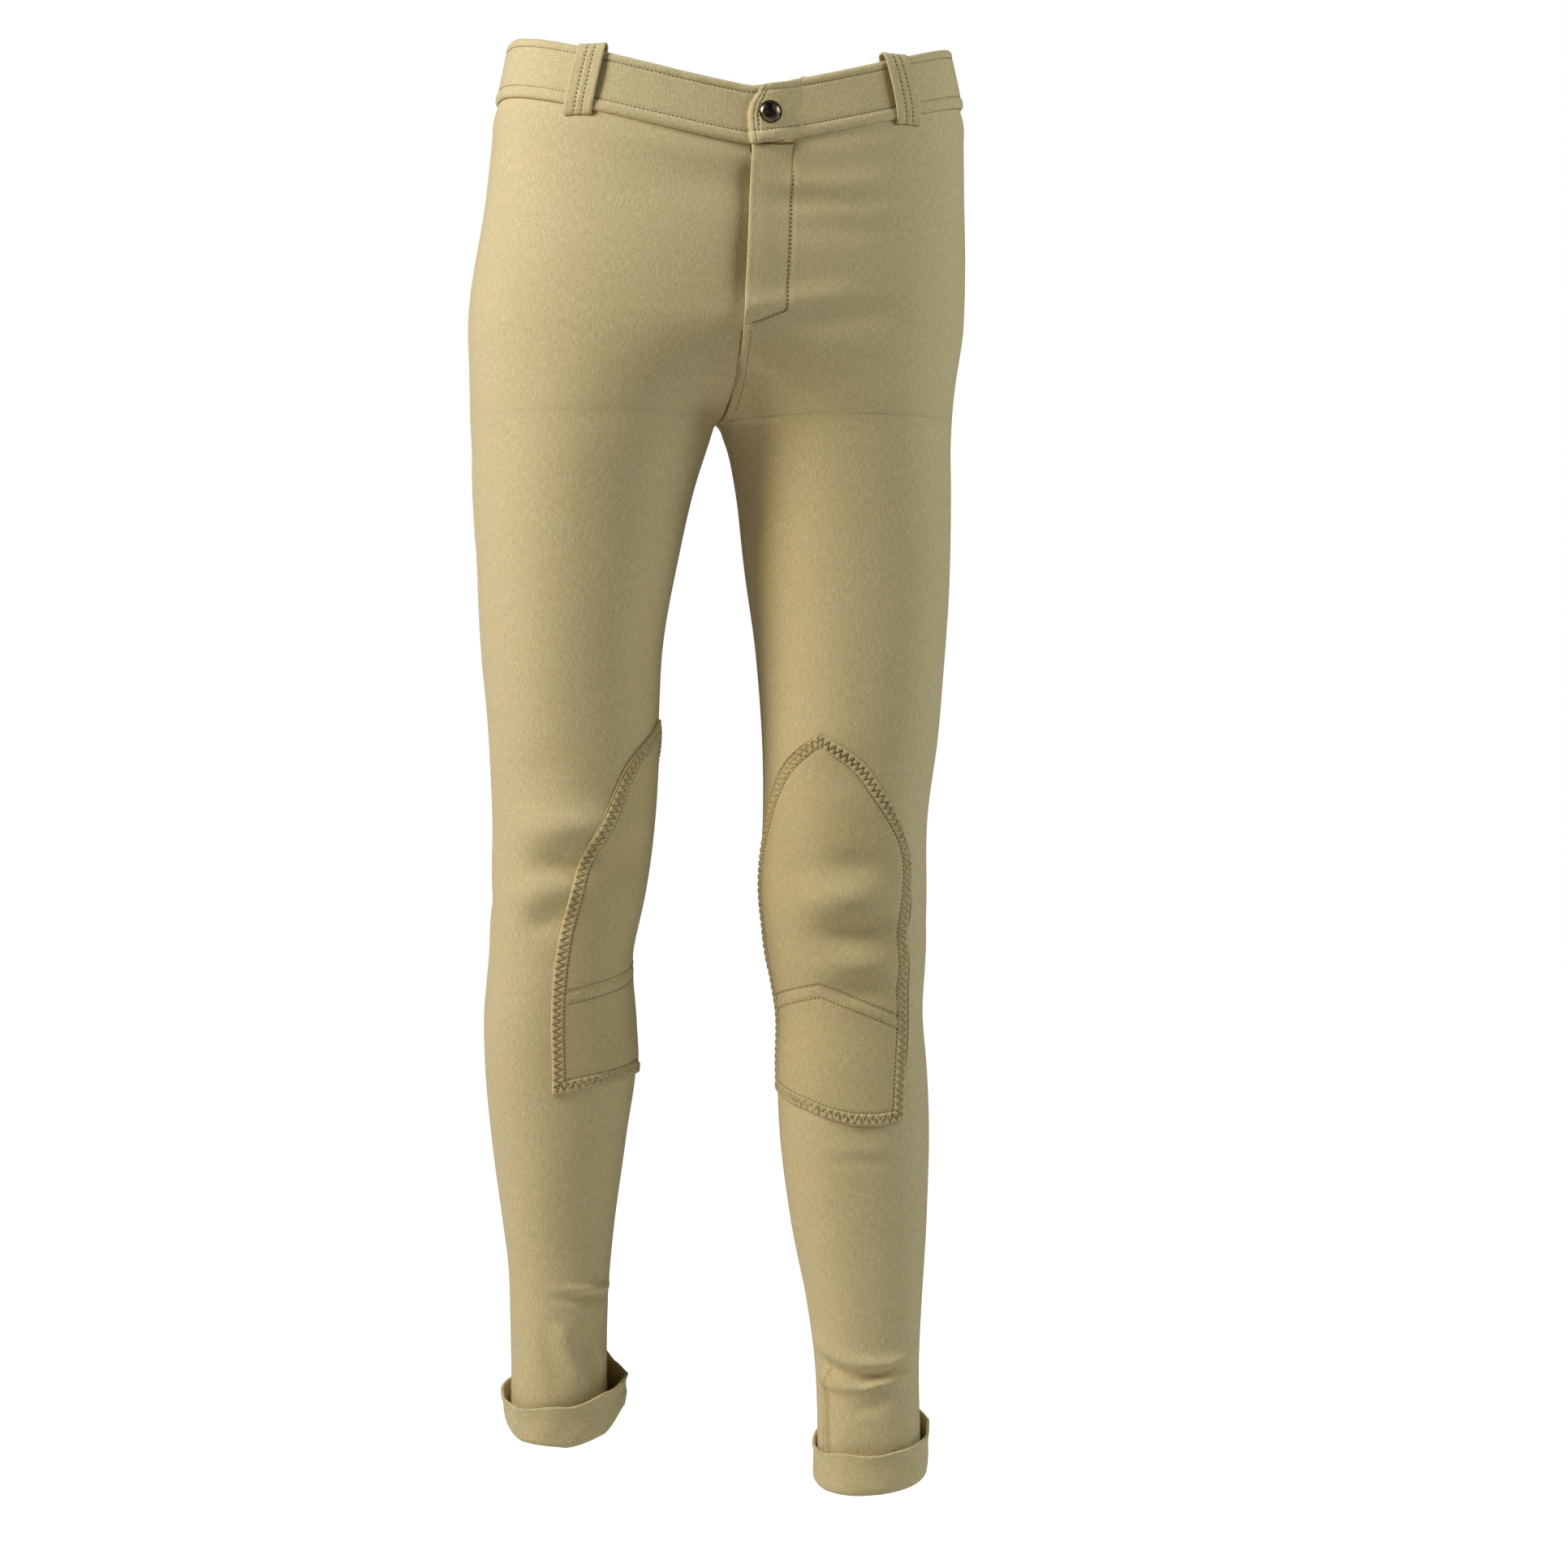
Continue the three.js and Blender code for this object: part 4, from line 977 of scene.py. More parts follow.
tab_down = curve_through([(1.9, 0), (5, 0), (6, 0), (20, 0), (31.5, 0), (33, 0), (38.6, 0)], 56)[:, :1]
tab_share = np.concatenate([np.linspace(0, 0.78, 30)[:-1], np.linspace(0.78, 1, 34)])
tab_x = TAB_FOLD + (between(TAB_END, tab_down) - TAB_FOLD) * tab_share
tab_outer, tab_inner = tab_place(tab_down, tab_x)
tab = shell("waist_tab", tab_outer, tab_inner, first=PLAIN, last=TAB_RIM)
finish(tab, band_knit, "stretch_knit")
SNAP_X, SNAP_Z = 11.0, -58.0
TAB_BEND = {"start": metres(front_surface(TAB_FOLD, SNAP_Z)),
            "end": metres(front_surface(TAB_FOLD - 8, SNAP_Z))}
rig.blend(tab, "root", "waist_tab", **TAB_BEND)
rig.replaces(tab, "waist_tab_outer", "waist_tab_facing")
print("tab reaches x", round(float(tab_outer[..., 0].min()), 1), "mm")

# %% [markdown]
# Belt loops are straps turned over the top edge, standing clear of the band and turned under at the foot.
# Their side line is a curve in the same down-and-off terms; the strap's own outline is a layer's thickness
# round it, with two stitch grooves along its middle.

# %% Belt loops
LOOP_WIDTH, LOOP_ROWS_APART = 17.4, 4.6
LOOP_LINE = [(9, -4.1), (3, -4.2), (-1.6, -4.0), (-3.3, -1.6), (-2.6, 2.0), (0.5, 3.7), (6, 4.5), (20, 4.9),
             (34, 4.5), (40, 3.5), (43.4, 2.6), (45.0, 1.7), (44.4, 0.9)]
loop_line = curve_through(LOOP_LINE, 70)
LOOP_SPOTS = {
    "front_right": ((-106, -26), (-115, -65)), "front_left": ((101, -20), (109, -60)),
    "back_right": -138.0, "back_centre": 180.0, "back_left": 138.0}


def loop_angles(spot):
    """Plan angles of a loop's top and foot."""
    if isinstance(spot, float):
        return spot, spot
    return tuple(float(plan_angle(float(x), float(z))) for x, z in spot)


def on_loop(spot, line, across, raise_by=0.0):
    """A place on a strap: along its side line, and a distance across it."""
    top, foot = loop_angles(spot)
    tangent = np.gradient(line, axis=0)
    away = unit(np.stack([-tangent[:, 1], tangent[:, 0]], 1))
    line = line + away * raise_by
    psi = top + (foot - top) * np.clip(line[:, :1], 0, 45) / BAND_HEIGHT
    radius = np.linalg.norm(trunk_surface(psi, -40.0)[..., :2], axis=-1)
    angle = psi + np.degrees(np.asarray(across) / radius)
    one = np.ones_like(angle)
    return off(trunk_surface, angle, band_top(psi * one) - line[:, :1], line[:, 1:] * one)


across = np.linspace(-LOOP_WIDTH / 2 + 0.6, LOOP_WIDTH / 2 - 0.6, 22)
dip = 0.5 * np.exp(-((np.abs(across) - LOOP_ROWS_APART / 2) / 0.8) ** 2)
edge_roll = 0.25 * np.exp(-((np.abs(across) - LOOP_WIDTH / 2 + 1.5) / 1.2) ** 2)
for name, spot in LOOP_SPOTS.items():
    faces = []
    for raise_by in (0.75, -0.65):
        sunk = (dip - edge_roll) * (raise_by > 0)
        columns = [on_loop(spot, loop_line, np.array([a]), raise_by - low)[:, 0]
                   for a, low in zip(across, sunk)]
        faces.append(np.stack(columns, 1))
    strap = shell(f"{name}_loop", *faces)
    settle(strap, band_knit, "stretch_knit", "root", f"belt_loop_{name}")
print("five loops,", len(strap.data.polygons), "faces each")

# %% [markdown]
# The fly flap is the left panel's own edge, folded back and held by the J-shaped row of stitches. It lies
# flat at the stitches and stands proud at its free edge, where it throws the one dark shadow on the front.
# Near its foot the slanted end of the J holds it down again. The facing under it follows the flap's own
# inner face.

# %% Fly flap and facing
def relief_at(side, points):
    """The leg's soft folds at points given by place: the leg angle is read back from them."""
    middle = along(LEGS[side], points[..., 2])
    dx, dy = points[..., 0] - middle[..., 0], points[..., 1] - middle[..., 1]
    return relief(side, np.degrees(np.arctan2(side * dx, -dy)), points[..., 2])


def flap_grid(shares, rows, heights, foot=0.0):
    """Points of the flap by row and share of its width; heights gives how far off the body, from the gap to
    the J-stitch and the height above the slanted end."""
    t = np.linspace(0, 1, rows)[:, None]
    bottom = FLY_END + 0.5 + (FLY_CORNER - FLY_END) * shares[None] + foot
    z = FLAP_TOP + (bottom - FLAP_TOP) * t
    x = centre_x(z) + shares[None] * FLY_WIDTH
    h = heights(FLY_WIDTH * (1 - shares[None]) * np.ones_like(z), z - bottom)
    return off(front_surface, x, z, h + relief_at(LEFT, front_surface(x, z)))


def flap_under(gap, above):
    """Height of the flap's inner face: it rises from the J-stitch to the free edge, less near its foot."""
    return -1.4 + 2.9 * smooth(gap / 25) * smooth(above / 12 + 0.12)


def flap_over(gap, above):
    """Height of the flap's outer face: 1.5 mm more, with dips at the stitches and a roll at the free edge."""
    dip = 0.55 * np.exp(-(gap / 1.1) ** 2) + 0.5 * np.exp(-(above / 1.2) ** 2)
    roll = 0.3 * np.exp(-((FLY_WIDTH - gap - 1.6) / 1.4) ** 2)
    return flap_under(gap, above) + 1.5 - dip + roll


flap_shares = 1 - SHARES[::3]
flap = shell("fly_flap_cloth", flap_grid(flap_shares, 60, flap_over), flap_grid(flap_shares, 60, flap_under))
finish(flap, cream_knit, "stretch_knit")
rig.replaces(flap, "fly_flap")
FLAP_MIDDLE = -135.0
flap_fold, flap_free = (metres(front_surface(centre_x(FLAP_MIDDLE) + FLY_WIDTH - away, FLAP_MIDDLE))
                        for away in (0.0, 9.0))
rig.blend(flap, "root", "fly_flap_body", start=flap_fold, end=flap_free)
facing_shares = np.linspace(0.56, 0.03, 18)
facing = shell("fly_facing_cloth", *[
    flap_grid(facing_shares, 50, lambda gap, above: flap_under(gap, above) - sunk, 2.0)
    for sunk in (0.12, 0.5)])
settle(facing, cream_knit, "stretch_knit", "fly_flap_body", "fly_facing")
print("flap", len(flap.data.polygons), "faces")

# %% [markdown]
# A zip lies straight even where the belly is round, so it has its own upright frame: across, outwards and
# up, worked out from two points of the front. The slider, its pull and the stop keep their CAD shapes and
# only get a finish. Teeth are worth making one by one: each is a short bar with a head, and the two rows
# mesh half a pitch apart.

# %% Zip
ZIP_TOP, ZIP_FOOT, ZIP_LENGTH, ZIP_ASIDE, ZIP_DEPTH = -81.0, -187.0, 106.0, 7.0, 1.5
zip_top = front_surface(centre_x(ZIP_TOP) + ZIP_ASIDE, ZIP_TOP)
zip_foot = front_surface(centre_x(ZIP_FOOT) + ZIP_ASIDE, ZIP_FOOT)
zip_up = unit(zip_top - zip_foot)
zip_across = unit(np.cross([0, -1, 0], zip_up))
zip_out = np.cross(zip_up, zip_across)


def at_zip(x, y, z):
    """A place in the zip's frame: x to the wearer's right, y outwards, z up from its top."""
    x, y, z = (np.asarray(v, float)[..., None] for v in np.broadcast_arrays(x, y, z))
    return zip_top - ZIP_DEPTH * zip_out + x * zip_across + y * zip_out + z * zip_up


def zip_strip(name, node, x0, x1, front, thick, foot, material, slot, bead):
    """A tape or shield: a flat strip with a corded edge and a slow ripple, y = front + bead exp(-(x/w)^2)."""
    x, z = np.meshgrid(np.linspace(x0, x1, 16), np.linspace(0, foot, 70))
    rounding = 3.0 * (1 - np.sqrt(np.clip(1 - np.clip((foot + 8 - z) / 8, 0, 1) ** 2, 0, 1)))
    x = (x0 + x1) / 2 + (x - (x0 + x1) / 2) * (1 - rounding / abs(x1 - x0))
    wave = 0.12 * np.sin(z / 7) * np.abs(x - x0) / abs(x1 - x0)
    cord = bead * np.exp(-((x - x0) / 0.8) ** 2)
    piece = shell(name, at_zip(x, front + cord + wave, z), at_zip(x, front - thick + wave, z))
    settle(piece, material, slot, "root", node)


zip_strip("fly_shield_cloth", "fly_shield", -15, 11, -6.6, 1.0, -108, cream_knit, "stretch_knit", 0.0)
for word, x0, x1 in (("right", 0.8, 11), ("left", -0.8, -14)):
    zip_strip(f"zip_tape_cloth_{word}", f"zip_tape_{word}", x0, x1, -3.6, 0.7, -ZIP_LENGTH, tape_cloth,
              "zip_tape", 0.35)


def blocks(name, sections):
    """Many small bars at once: sections is (count, stations, 4, 3); sides and two caps are quads."""
    count, stations = sections.shape[:2]
    i, j = lattice(stations, 4, close_columns=True)
    one = i * 4 + j % 4
    one = np.concatenate([one, [[3, 2, 1, 0]], (stations - 1) * 4 + np.array([[0, 1, 2, 3]])])
    faces = (one[None] + (np.arange(count) * stations * 4)[:, None, None]).reshape(-1, 4)
    flat = np.zeros((2, 4))
    uv = np.stack([np.concatenate([j / 4 * 0.002, flat]), np.concatenate([i * 0.0008, flat])], -1)
    uv = uv[None] + (np.arange(count) * 0.0031)[:, None, None, None]
    return put(name, sections.reshape(-1, 3), faces, uv.reshape(-1, 4, 2))


TOOTH_PITCH = 2.0
TOOTH = np.array([          # a tooth's reach, half height and half depth at four stations
    [2.5, 1.5, 0.7, 0.1], [0.42, 0.42, 0.36, 0.26], [0.8, 0.8, 0.72, 0.5]])
for sign, word in ((1, "right"), (-1, "left")):
    level = np.arange(-2.0 - (sign < 0) * TOOTH_PITCH / 2, -ZIP_LENGTH + 6.6, -TOOTH_PITCH)[:, None, None]
    reach, tall, deep = TOOTH[..., None]
    x = sign * reach
    z = level + tall * np.array([1, -1, -1, 1])
    y = -2.5 + deep * np.array([1, 1, -1, -1])
    teeth = blocks(f"zip_teeth_{word}_row", at_zip(x + 0 * z, y + 0 * z, z))
    settle(teeth, zip_metal, "zip_brass", "root", f"zip_teeth_{word}")
for node in ("zip_slider", "zip_pull", "zip_bottom_stop"):
    frame["nodes"][node].data.materials.clear()
    frame["nodes"][node].data.materials.append(zip_metal)
print("teeth", len(teeth.data.polygons) // 14, "a side")

# %% [markdown]
# The snap is turned work: each part is a profile spun about one axis, which stands square to the band.
# Spinning by formula keeps the parts at the origin with no modifier. The cap is a shallow dome with a
# raised rim, and the socket, stud and post behind it are the usual stamped rings.

# %% Snap
snap_out = normal_of(front_surface, SNAP_X, SNAP_Z)
snap_side = unit(np.cross([0, 0, 1], snap_out))
snap_up = np.cross(snap_out, snap_side)


def spun(name, profile, height, node, body, material, count, sides=64):
    """Profile of (radius, height) spun round the snap's axis: base + h out + r (cos, sin)."""
    line = curve_through(profile, count)
    line[[0, -1], 0] = line[0, 0] if line[0, 0] > 0.5 else 0.0
    turn = np.linspace(0, 2 * np.pi, sides, endpoint=False)
    spoke = np.cos(turn)[:, None] * snap_side + np.sin(turn)[:, None] * snap_up
    base = front_surface(SNAP_X, SNAP_Z) + snap_out * height
    points = base + line[None, :, :1] * spoke[:, None] + line[None, :, 1:] * snap_out
    i, j = lattice(sides, count, close_rows=True)
    piece = put(name, points.reshape(-1, 3), (i % sides) * count + j, np.stack([i * 0.0008, j * 0.0005], -1))
    weld(piece)
    settle(piece, material, "snap_brass", body, node)


def weld(piece):
    """Joins the points that meet at a pole and turns the faces outwards."""
    made = bmesh.new()
    made.from_mesh(piece.data)
    bmesh.ops.remove_doubles(made, verts=made.verts, dist=2e-7)
    bmesh.ops.recalc_face_normals(made, faces=made.faces)
    made.to_mesh(piece.data)
    made.free()
    piece.data.shade_smooth()
    piece.data.set_sharp_from_angle(angle=SHARP)


CAP = [(0, 0.05), (4, 0.0), (6.9, 0.0), (7.6, 0.15), (7.8, 0.55), (7.6, 0.95), (7.2, 0.98), (6.9, 0.86),
       (6.4, 1.35), (5.2, 2.2), (3.2, 2.85), (1.4, 3.08), (0, 3.12)]
STUD = [(0, 0.0), (2.5, 0.0), (4.7, 0.0), (5.1, 0.18), (4.7, 0.4), (3.0, 0.3), (2.0, 0.5), (1.75, 0.8),
        (1.95, 1.1), (1.6, 1.32), (0.8, 1.36), (0, 1.36)]
POST = [(0, 0.9), (2.0, 0.86), (3.4, 0.9), (4.3, 0.75), (4.55, 0.45), (4.3, 0.1), (3.4, 0.0), (1.5, -0.05),
        (0, -0.05)]
SOCKET = [(2.1, 0.1), (2.9, 0.0), (4.2, 0.0), (5.3, 0.1), (5.55, 0.4), (5.2, 0.85), (4.2, 0.8), (3.4, 0.95),
          (2.5, 0.9), (2.1, 0.6), (2.1, 0.1)]
spun("snap_cap_dome", CAP, 6.35, "snap_cap", "waist_tab", snap_metal, 44)
spun("snap_socket_ring", SOCKET, 2.5, "snap_socket", "waist_tab", inner_metal, 34, 40)
spun("snap_stud_turned", STUD, 1.9, "snap_stud", "root", inner_metal, 34, 40)
spun("snap_post_turned", POST, -4.0, "snap_post", "root", inner_metal, 26, 40)

# %% [markdown]
# A small blank label is sewn inside the back of the band. It is satin, a little curled at its free
# corners.

# %% Label
label_psi, label_down = np.meshgrid(np.linspace(158, 168, 26), np.linspace(10, 34, 26))
curl = 0.5 * smooth((label_down - 22) / 12) * np.abs(label_psi - 163) / 5
label = shell("care_label_satin", *[on_band(label_psi, label_down, h - curl) for h in (-4.9, -5.35)])
settle(label, label_satin, "label_cloth", "root", "care_label")

# %% [markdown]
# The knee patches are a second layer, sewn on by a wide zigzag that leaves a braid of small puffs round
# the edge, and a straight row inside it. The puffs are real heights, so they light and cast like cloth:
# each place's distance to the outline and its run along the outline give the zigzag's line, and the cloth
# swells away from it.

# %% Knee patches
PATCH = {
    RIGHT: {"edges": [[-463, -60, -63], [-486, -31.8, -92], [-519, -15, -112], [-558, 0.8, -124],
                      [-596, 7.8, -128], [-635, 11.2, -128], [-712, 13, -124], [-722, 13, -124]],
            "join": [(11, -650), (0.5, -647), (-62, -633), (-85, -629), (-128, -644)],
            "hem": [(13, -718), (-23, -711), (-65, -704), (-124, -712)]},
    LEFT: {"edges": [[-473, -26, -29], [-489, -5, -49], [-511, 12, -66], [-548, 34, -85], [-603, 36, -94],
                     [-664, 32.5, -95], [-735, 28.2, -94], [-742, 28.2, -94]],
           "join": [(36, -669), (28, -667), (-31, -643), (-82, -652), (-95, -658)],
           "hem": [(28, -736), (8, -739), (-12, -738.5), (-30, -734.5), (-48, -728.5), (-94, -717)]}}
ZIGZAG, NEAR_EDGE, FAR_EDGE, STRAIGHT_ROW, CHEVRON = 4.8, 1.5, 6.7, 8.2, 8.4


def patch_outline(side):
    """The patch's outline on the unrolled leg: outer edge down, hem across, inner edge up, in millimetres."""
    edges = np.array(PATCH[side]["edges"], float)
    hem = np.array(PATCH[side]["hem"], float)
    z_out = np.linspace(edges[0, 0], hem[0, 1], 70)
    z_in = np.linspace(hem[-1, 1], edges[0, 0], 70)
    hem_phi = np.linspace(hem[0, 0], hem[-1, 0], 30)[1:-1]
    phi = np.concatenate([along(edges, z_out)[:, 0], hem_phi, along(edges, z_in)[:, 1]])
    z = np.concatenate([z_out, between(PATCH[side]["hem"], hem_phi), z_in])
    return np.stack([np.radians(phi) * girth(side, z), z], 1)


OUTLINE = {side: patch_outline(side) for side in (RIGHT, LEFT)}
FACE = [(0, 1.0), (0.5, 1.6), (1.2, 1.9), (6.4, 2.0), (7.4, 1.8), (8.2, 1.3), (9.0, 1.6), (10.5, 1.75),
        (400, 1.8)]


def from_outline(side, phi, z):
    """Distance of a place to the patch's outline, and the run along it."""
    return to_polyline(np.radians(phi) * girth(side, z), z, OUTLINE[side].tolist())[:2]


def patch_height(side, phi, z):
    """Outer height of a patch: its face by distance from the outline, puffs b (1 - exp(-(g/w)^2)) between the
    zigzag's lines, and grooves along the pointed seam."""
    gap, where = from_outline(side, phi, z)
    phase = np.abs((where / ZIGZAG) % 1 * 2 - 1)
    line = NEAR_EDGE + (FAR_EDGE - NEAR_EDGE) * phase
    beside = np.abs(gap - line) * 0.42
    puff = (1.7 * (1 - np.exp(-(beside / 0.55) ** 2)) - 0.75) * smooth(gap / 1.2) * smooth((7.6 - gap) / 1.2)
    down = between(PATCH[side]["join"], phi) - z
    seam = -0.25 * np.exp(-(down / 0.9) ** 2) + 0.35 * smooth((down - 1) / 2) * smooth((7.6 - down) / 2)
    seam = seam - 0.3 * np.exp(-((down - CHEVRON) / 0.8) ** 2)
    return np.interp(gap, *np.array(FACE).T) + puff + seam * smooth((gap - 7) / 2)


def patch_columns(width, edge_count, middle_count):
    """Shares of a row's width, crowded within 11 mm of both edges."""
    e = np.minimum(11, 0.38 * width)
    k = np.linspace(0, 1, edge_count, endpoint=False)
    m = np.linspace(0, 1, middle_count)
    return np.concatenate([e * k, e + (width - 2 * e) * m, width - (e * k)[:, ::-1]], 1) / width


def make_patch(name, side, top, foot, rows, counts):
    """A grid between two levels, each a function of the angle round the leg."""
    edges = np.array(PATCH[side]["edges"], float)
    guide = top(0.0) + (foot(0.0) - top(0.0)) * rows[:, None]
    ends = along(edges, guide[:, 0])
    width = np.radians(ends[:, :1] - ends[:, 1:]) * girth(side, guide)
    phi = ends[:, :1] + (ends[:, 1:] - ends[:, :1]) * patch_columns(width, *counts)
    z = top(phi) + (foot(phi) - top(phi)) * rows[:, None]
    piece = shell(f"{WORD[side]}_patch_{name}", on_leg(side, phi, z, patch_height(side, phi, z)),
                  on_leg(side, phi, z, 0.3))
    finish(piece, patch_knit, "patch_knit")
    bend(piece, side)
    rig.replaces(piece, f"{WORD[side]}_knee_patch_{name}")
    print(piece.name, len(piece.data.polygons), "faces")


JOIN_GAP = 0.2
foot_rows = np.concatenate([np.linspace(0, 0.84, 96)[:-1], np.linspace(0.84, 1, 24)])
for side in (RIGHT, LEFT):
    apex = lambda phi: PATCH[side]["edges"][0][0] + 0 * np.asarray(phi, float)
    join = lambda phi: between(PATCH[side]["join"], phi)
    hem = lambda phi: between(PATCH[side]["hem"], phi)
    make_patch("upper", side, apex, lambda phi: join(phi) + JOIN_GAP, np.linspace(0, 1, 290), (20, 34))
    make_patch("lower", side, lambda phi: join(phi) - JOIN_GAP, hem, foot_rows, (20, 74))

# %% [markdown]
# At the ankle the leg is turned up over itself. A cuff is one profile, up the inside, round the fold and
# up the outside to a thick rolled rim, carried round the leg while its heights change. Its rim stands off
# the leg and dips and rises, and at the right ankle's inner back it stands up in a flared fold.

# %% Cuffs
def make_cuff(side):
    """Middle line by angle, half a thickness either side along its own normal (dz, -dh)."""
    phi = np.linspace(0, 360, 168, endpoint=False)[:, None]
    rim, fold, far, low = (round_leg(CUFF[side], k, phi) for k in (1, 2, 3, 4))
    rim = rim + 0.5 * np.sin(np.radians(phi) * 7)
    fold = fold + 0.6 * np.sin(np.radians(phi) * 5 + 1)
    tall = rim - fold
    one = np.ones_like(phi)
    h = np.concatenate([-2.3 * one, -2.2 * one, -2.0 * one, low - 4, low - 2, low, low + 0.6,
                        0.5 + 0.65 * low + 0.4 * far, 0.8 + 0.3 * low + 0.65 * far, 1.1 + 0.96 * far,
                        1.3 + far], 1)
    z = np.concatenate([fold + 24, fold + 12, fold + 3.6, fold + 1.0, fold + 0.2, fold + 1.6, fold + 4.4,
                        fold + 0.42 * tall, fold + 0.66 * tall, fold + 0.88 * tall, rim - 1.2], 1)
    half_at = [0.6, 0.6, 0.7, 0.9, 1.0, 1.0, 0.9, 0.8, 0.8, 1.05, 1.25]
    lines = np.stack([curve_through(np.stack([a, b, half_at], 1), 46) for a, b in zip(h, z)])
    h, z, half = np.moveaxis(lines, -1, 0)
    dh, dz = np.gradient(h, axis=1), np.gradient(z, axis=1)
    long = np.hypot(dh, dz)
    ripple = 0.3 * np.sin(np.radians(phi) * 9 + z / 6) * smooth((z - fold) / 10) * (h > 0)
    faces = []
    for sign in (1, -1):
        hs, zs = h + ripple + sign * half * dz / long, z - sign * half * dh / long
        base = leg_surface(side, phi * np.ones_like(zs), zs)
        out = leg_normal(side, phi * np.ones_like(zs), np.minimum(zs, -880))
        out[..., 2] = 0
        faces.append(base + unit(out) * hs[..., None])
    return faces


for side in (RIGHT, LEFT):
    outer, inner = make_cuff(side)
    cuff = shell(f"{WORD[side]}_turned_cuff", outer, inner, closed=True)
    settle(cuff, cream_knit, "stretch_knit", f"{WORD[side]}_shin", f"{WORD[side]}_cuff")
    print(cuff.name, "lowest", round(float(outer[..., 2].min()), 1), "mm")

# %% [markdown]
# Stitches are the smallest pieces and the ones that say sewn. Each is a short bent bar whose ends dive
# into the cloth: four sections of four points, 14 faces. A row of them follows a line of points with its
# outward directions, so the same helper sews the band, the loops, the fly, the crotch and the patches.

# %% Stitches
THREAD, PITCH, STITCH = 0.31, 2.9, 0.74


def sewn(line, out):
    """Start, end and outward direction of each stitch: a pitch apart along the line, a share of it long."""
    run = run_of(line)
    start = np.arange(PITCH * 0.2, run[-1] - PITCH, PITCH)
    end = start + STITCH * PITCH
    return read_at(line, run, start), read_at(line, run, end), unit(read_at(out, run, start))


# The default thread carries painted shade. Its dark colour stands for the shadow in the stitch holes, while the
# zigzag's edge thread is paler.
def threads(name, rows, material=thread):
    """All the stitches of some rows as bars: sections at 0, 0.2, 0.8 and 1 of each, sunk at both ends."""
    start, end, out = (np.concatenate([row[k] for row in rows]) for k in range(3))
    go = unit(end - start)
    side = unit(np.cross(out, go))
    share_at = np.array([0, 0.2, 0.8, 1])[None, :, None, None]
    lift = THREAD * np.array([-1.6, 0.5, 0.5, -1.6])[None, :, None, None]
    thick = THREAD * np.array([0.7, 1, 1, 0.7])[None, :, None, None]
    corner = np.radians([45, 135, 225, 315])[None, None, :, None]
    middle = start[:, None, None] + (end - start)[:, None, None] * share_at + out[:, None, None] * lift
    ring = np.cos(corner) * side[:, None, None] + np.sin(corner) * out[:, None, None]
    piece = blocks(name, middle + thick * ring)
    return finish(piece, material, "stretch_knit")


psi_run = np.linspace(turns[0, 0], turns[-1, 0], 1500)
band_rows = []
for down, h in ((TOP_ROW, 1.25), (PIPE_ROW, 1.3)):
    out = normal_of(trunk_surface, psi_run, band_top(psi_run) - down)
    band_rows.append(sewn(on_band(psi_run, down, h), out))
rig.ride(threads("band_stitches", band_rows), "root")



def tab_row(down, x):
    """Stitches on the tab by distance below the top edge and sideways place."""
    return sewn(tab_place(down, x)[0], normal_of(front_surface, x, front_band_top(x) - down))


tab_rows = []
x_run = np.linspace(TAB_FOLD - 0.5, 4, 60)
for down in (TOP_ROW, PIPE_ROW):
    x = x_run[x_run > between(TAB_END, down) + EDGE_ROW]
    tab_rows.append(tab_row(down + 0 * x, x))
down = np.linspace(TOP_ROW, PIPE_ROW, 60)
tab_rows.append(tab_row(down, between(TAB_END, down) + EDGE_ROW))
tab_thread = threads("tab_stitches", tab_rows)
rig.blend(tab_thread, "root", "waist_tab", **TAB_BEND)

loop_rows = []
for spot in LOOP_SPOTS.values():
    for away in (-LOOP_ROWS_APART / 2, LOOP_ROWS_APART / 2):
        line, lower = (on_loop(spot, loop_line, np.array([away]), h)[14:, 0] for h in (0.38, -0.6))
        loop_rows.append(sewn(line, unit(line - lower)))
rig.ride(threads("loop_stitches", loop_rows), "root")

slant = np.linspace(0.995, 0.03, 40)
z = np.concatenate([np.linspace(FLAP_TOP - 1, FLY_CORNER, 90),
                    FLY_END + 0.5 + (FLY_CORNER - FLY_END) * slant])
x = centre_x(z) + FLY_WIDTH * np.concatenate([np.ones(90), slant]) + 0.15
lift = relief_at(LEFT, front_surface(x, z)) - 0.15
j_row = sewn(off(front_surface, x, z, lift), normal_of(front_surface, x, z))
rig.ride(threads("fly_stitches", [j_row]), "root")


def seam_row(side, back, z, away):
    """Stitches beside the centre seam, away millimetres to one side of it."""
    phi, _ = end_angle(side, z, centre_x(z) + side * away, back)
    return sewn(on_leg(side, phi, z, 0.12), leg_normal(side, phi, z))


centre_rows = [seam_row(side, False, np.linspace(FLY_END - 2, -251, 60), away)
               for side, away in ((RIGHT, 1.4), (LEFT, 4.8))]
centre_rows += [seam_row(side, True, np.linspace(-60, -246, 160), 4.2) for side in (RIGHT, LEFT)]
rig.ride(threads("centre_seam_stitches", centre_rows), "root")


def off_outline(side, at, inwards):
    """Angle and height of places a run along a patch's outline, moved inwards on the unrolled leg."""
    line = OUTLINE[side]
    run = run_of(line)
    here, before, after = (read_at(line, run, at + step) for step in (0, -0.5, 0.5))
    go = after - before
    place = here + unit(np.stack([go[:, 1], -go[:, 0]], 1)) * np.asarray(inwards)[..., None]
    return np.degrees(place[:, 0] / girth(side, place[:, 1])), place[:, 1], run[-1]


def patch_row(side, phi, z):
    """Stitches that follow places on a patch."""
    return sewn(on_leg(side, phi, z, patch_height(side, phi, z) + 0.05), leg_normal(side, phi, z))


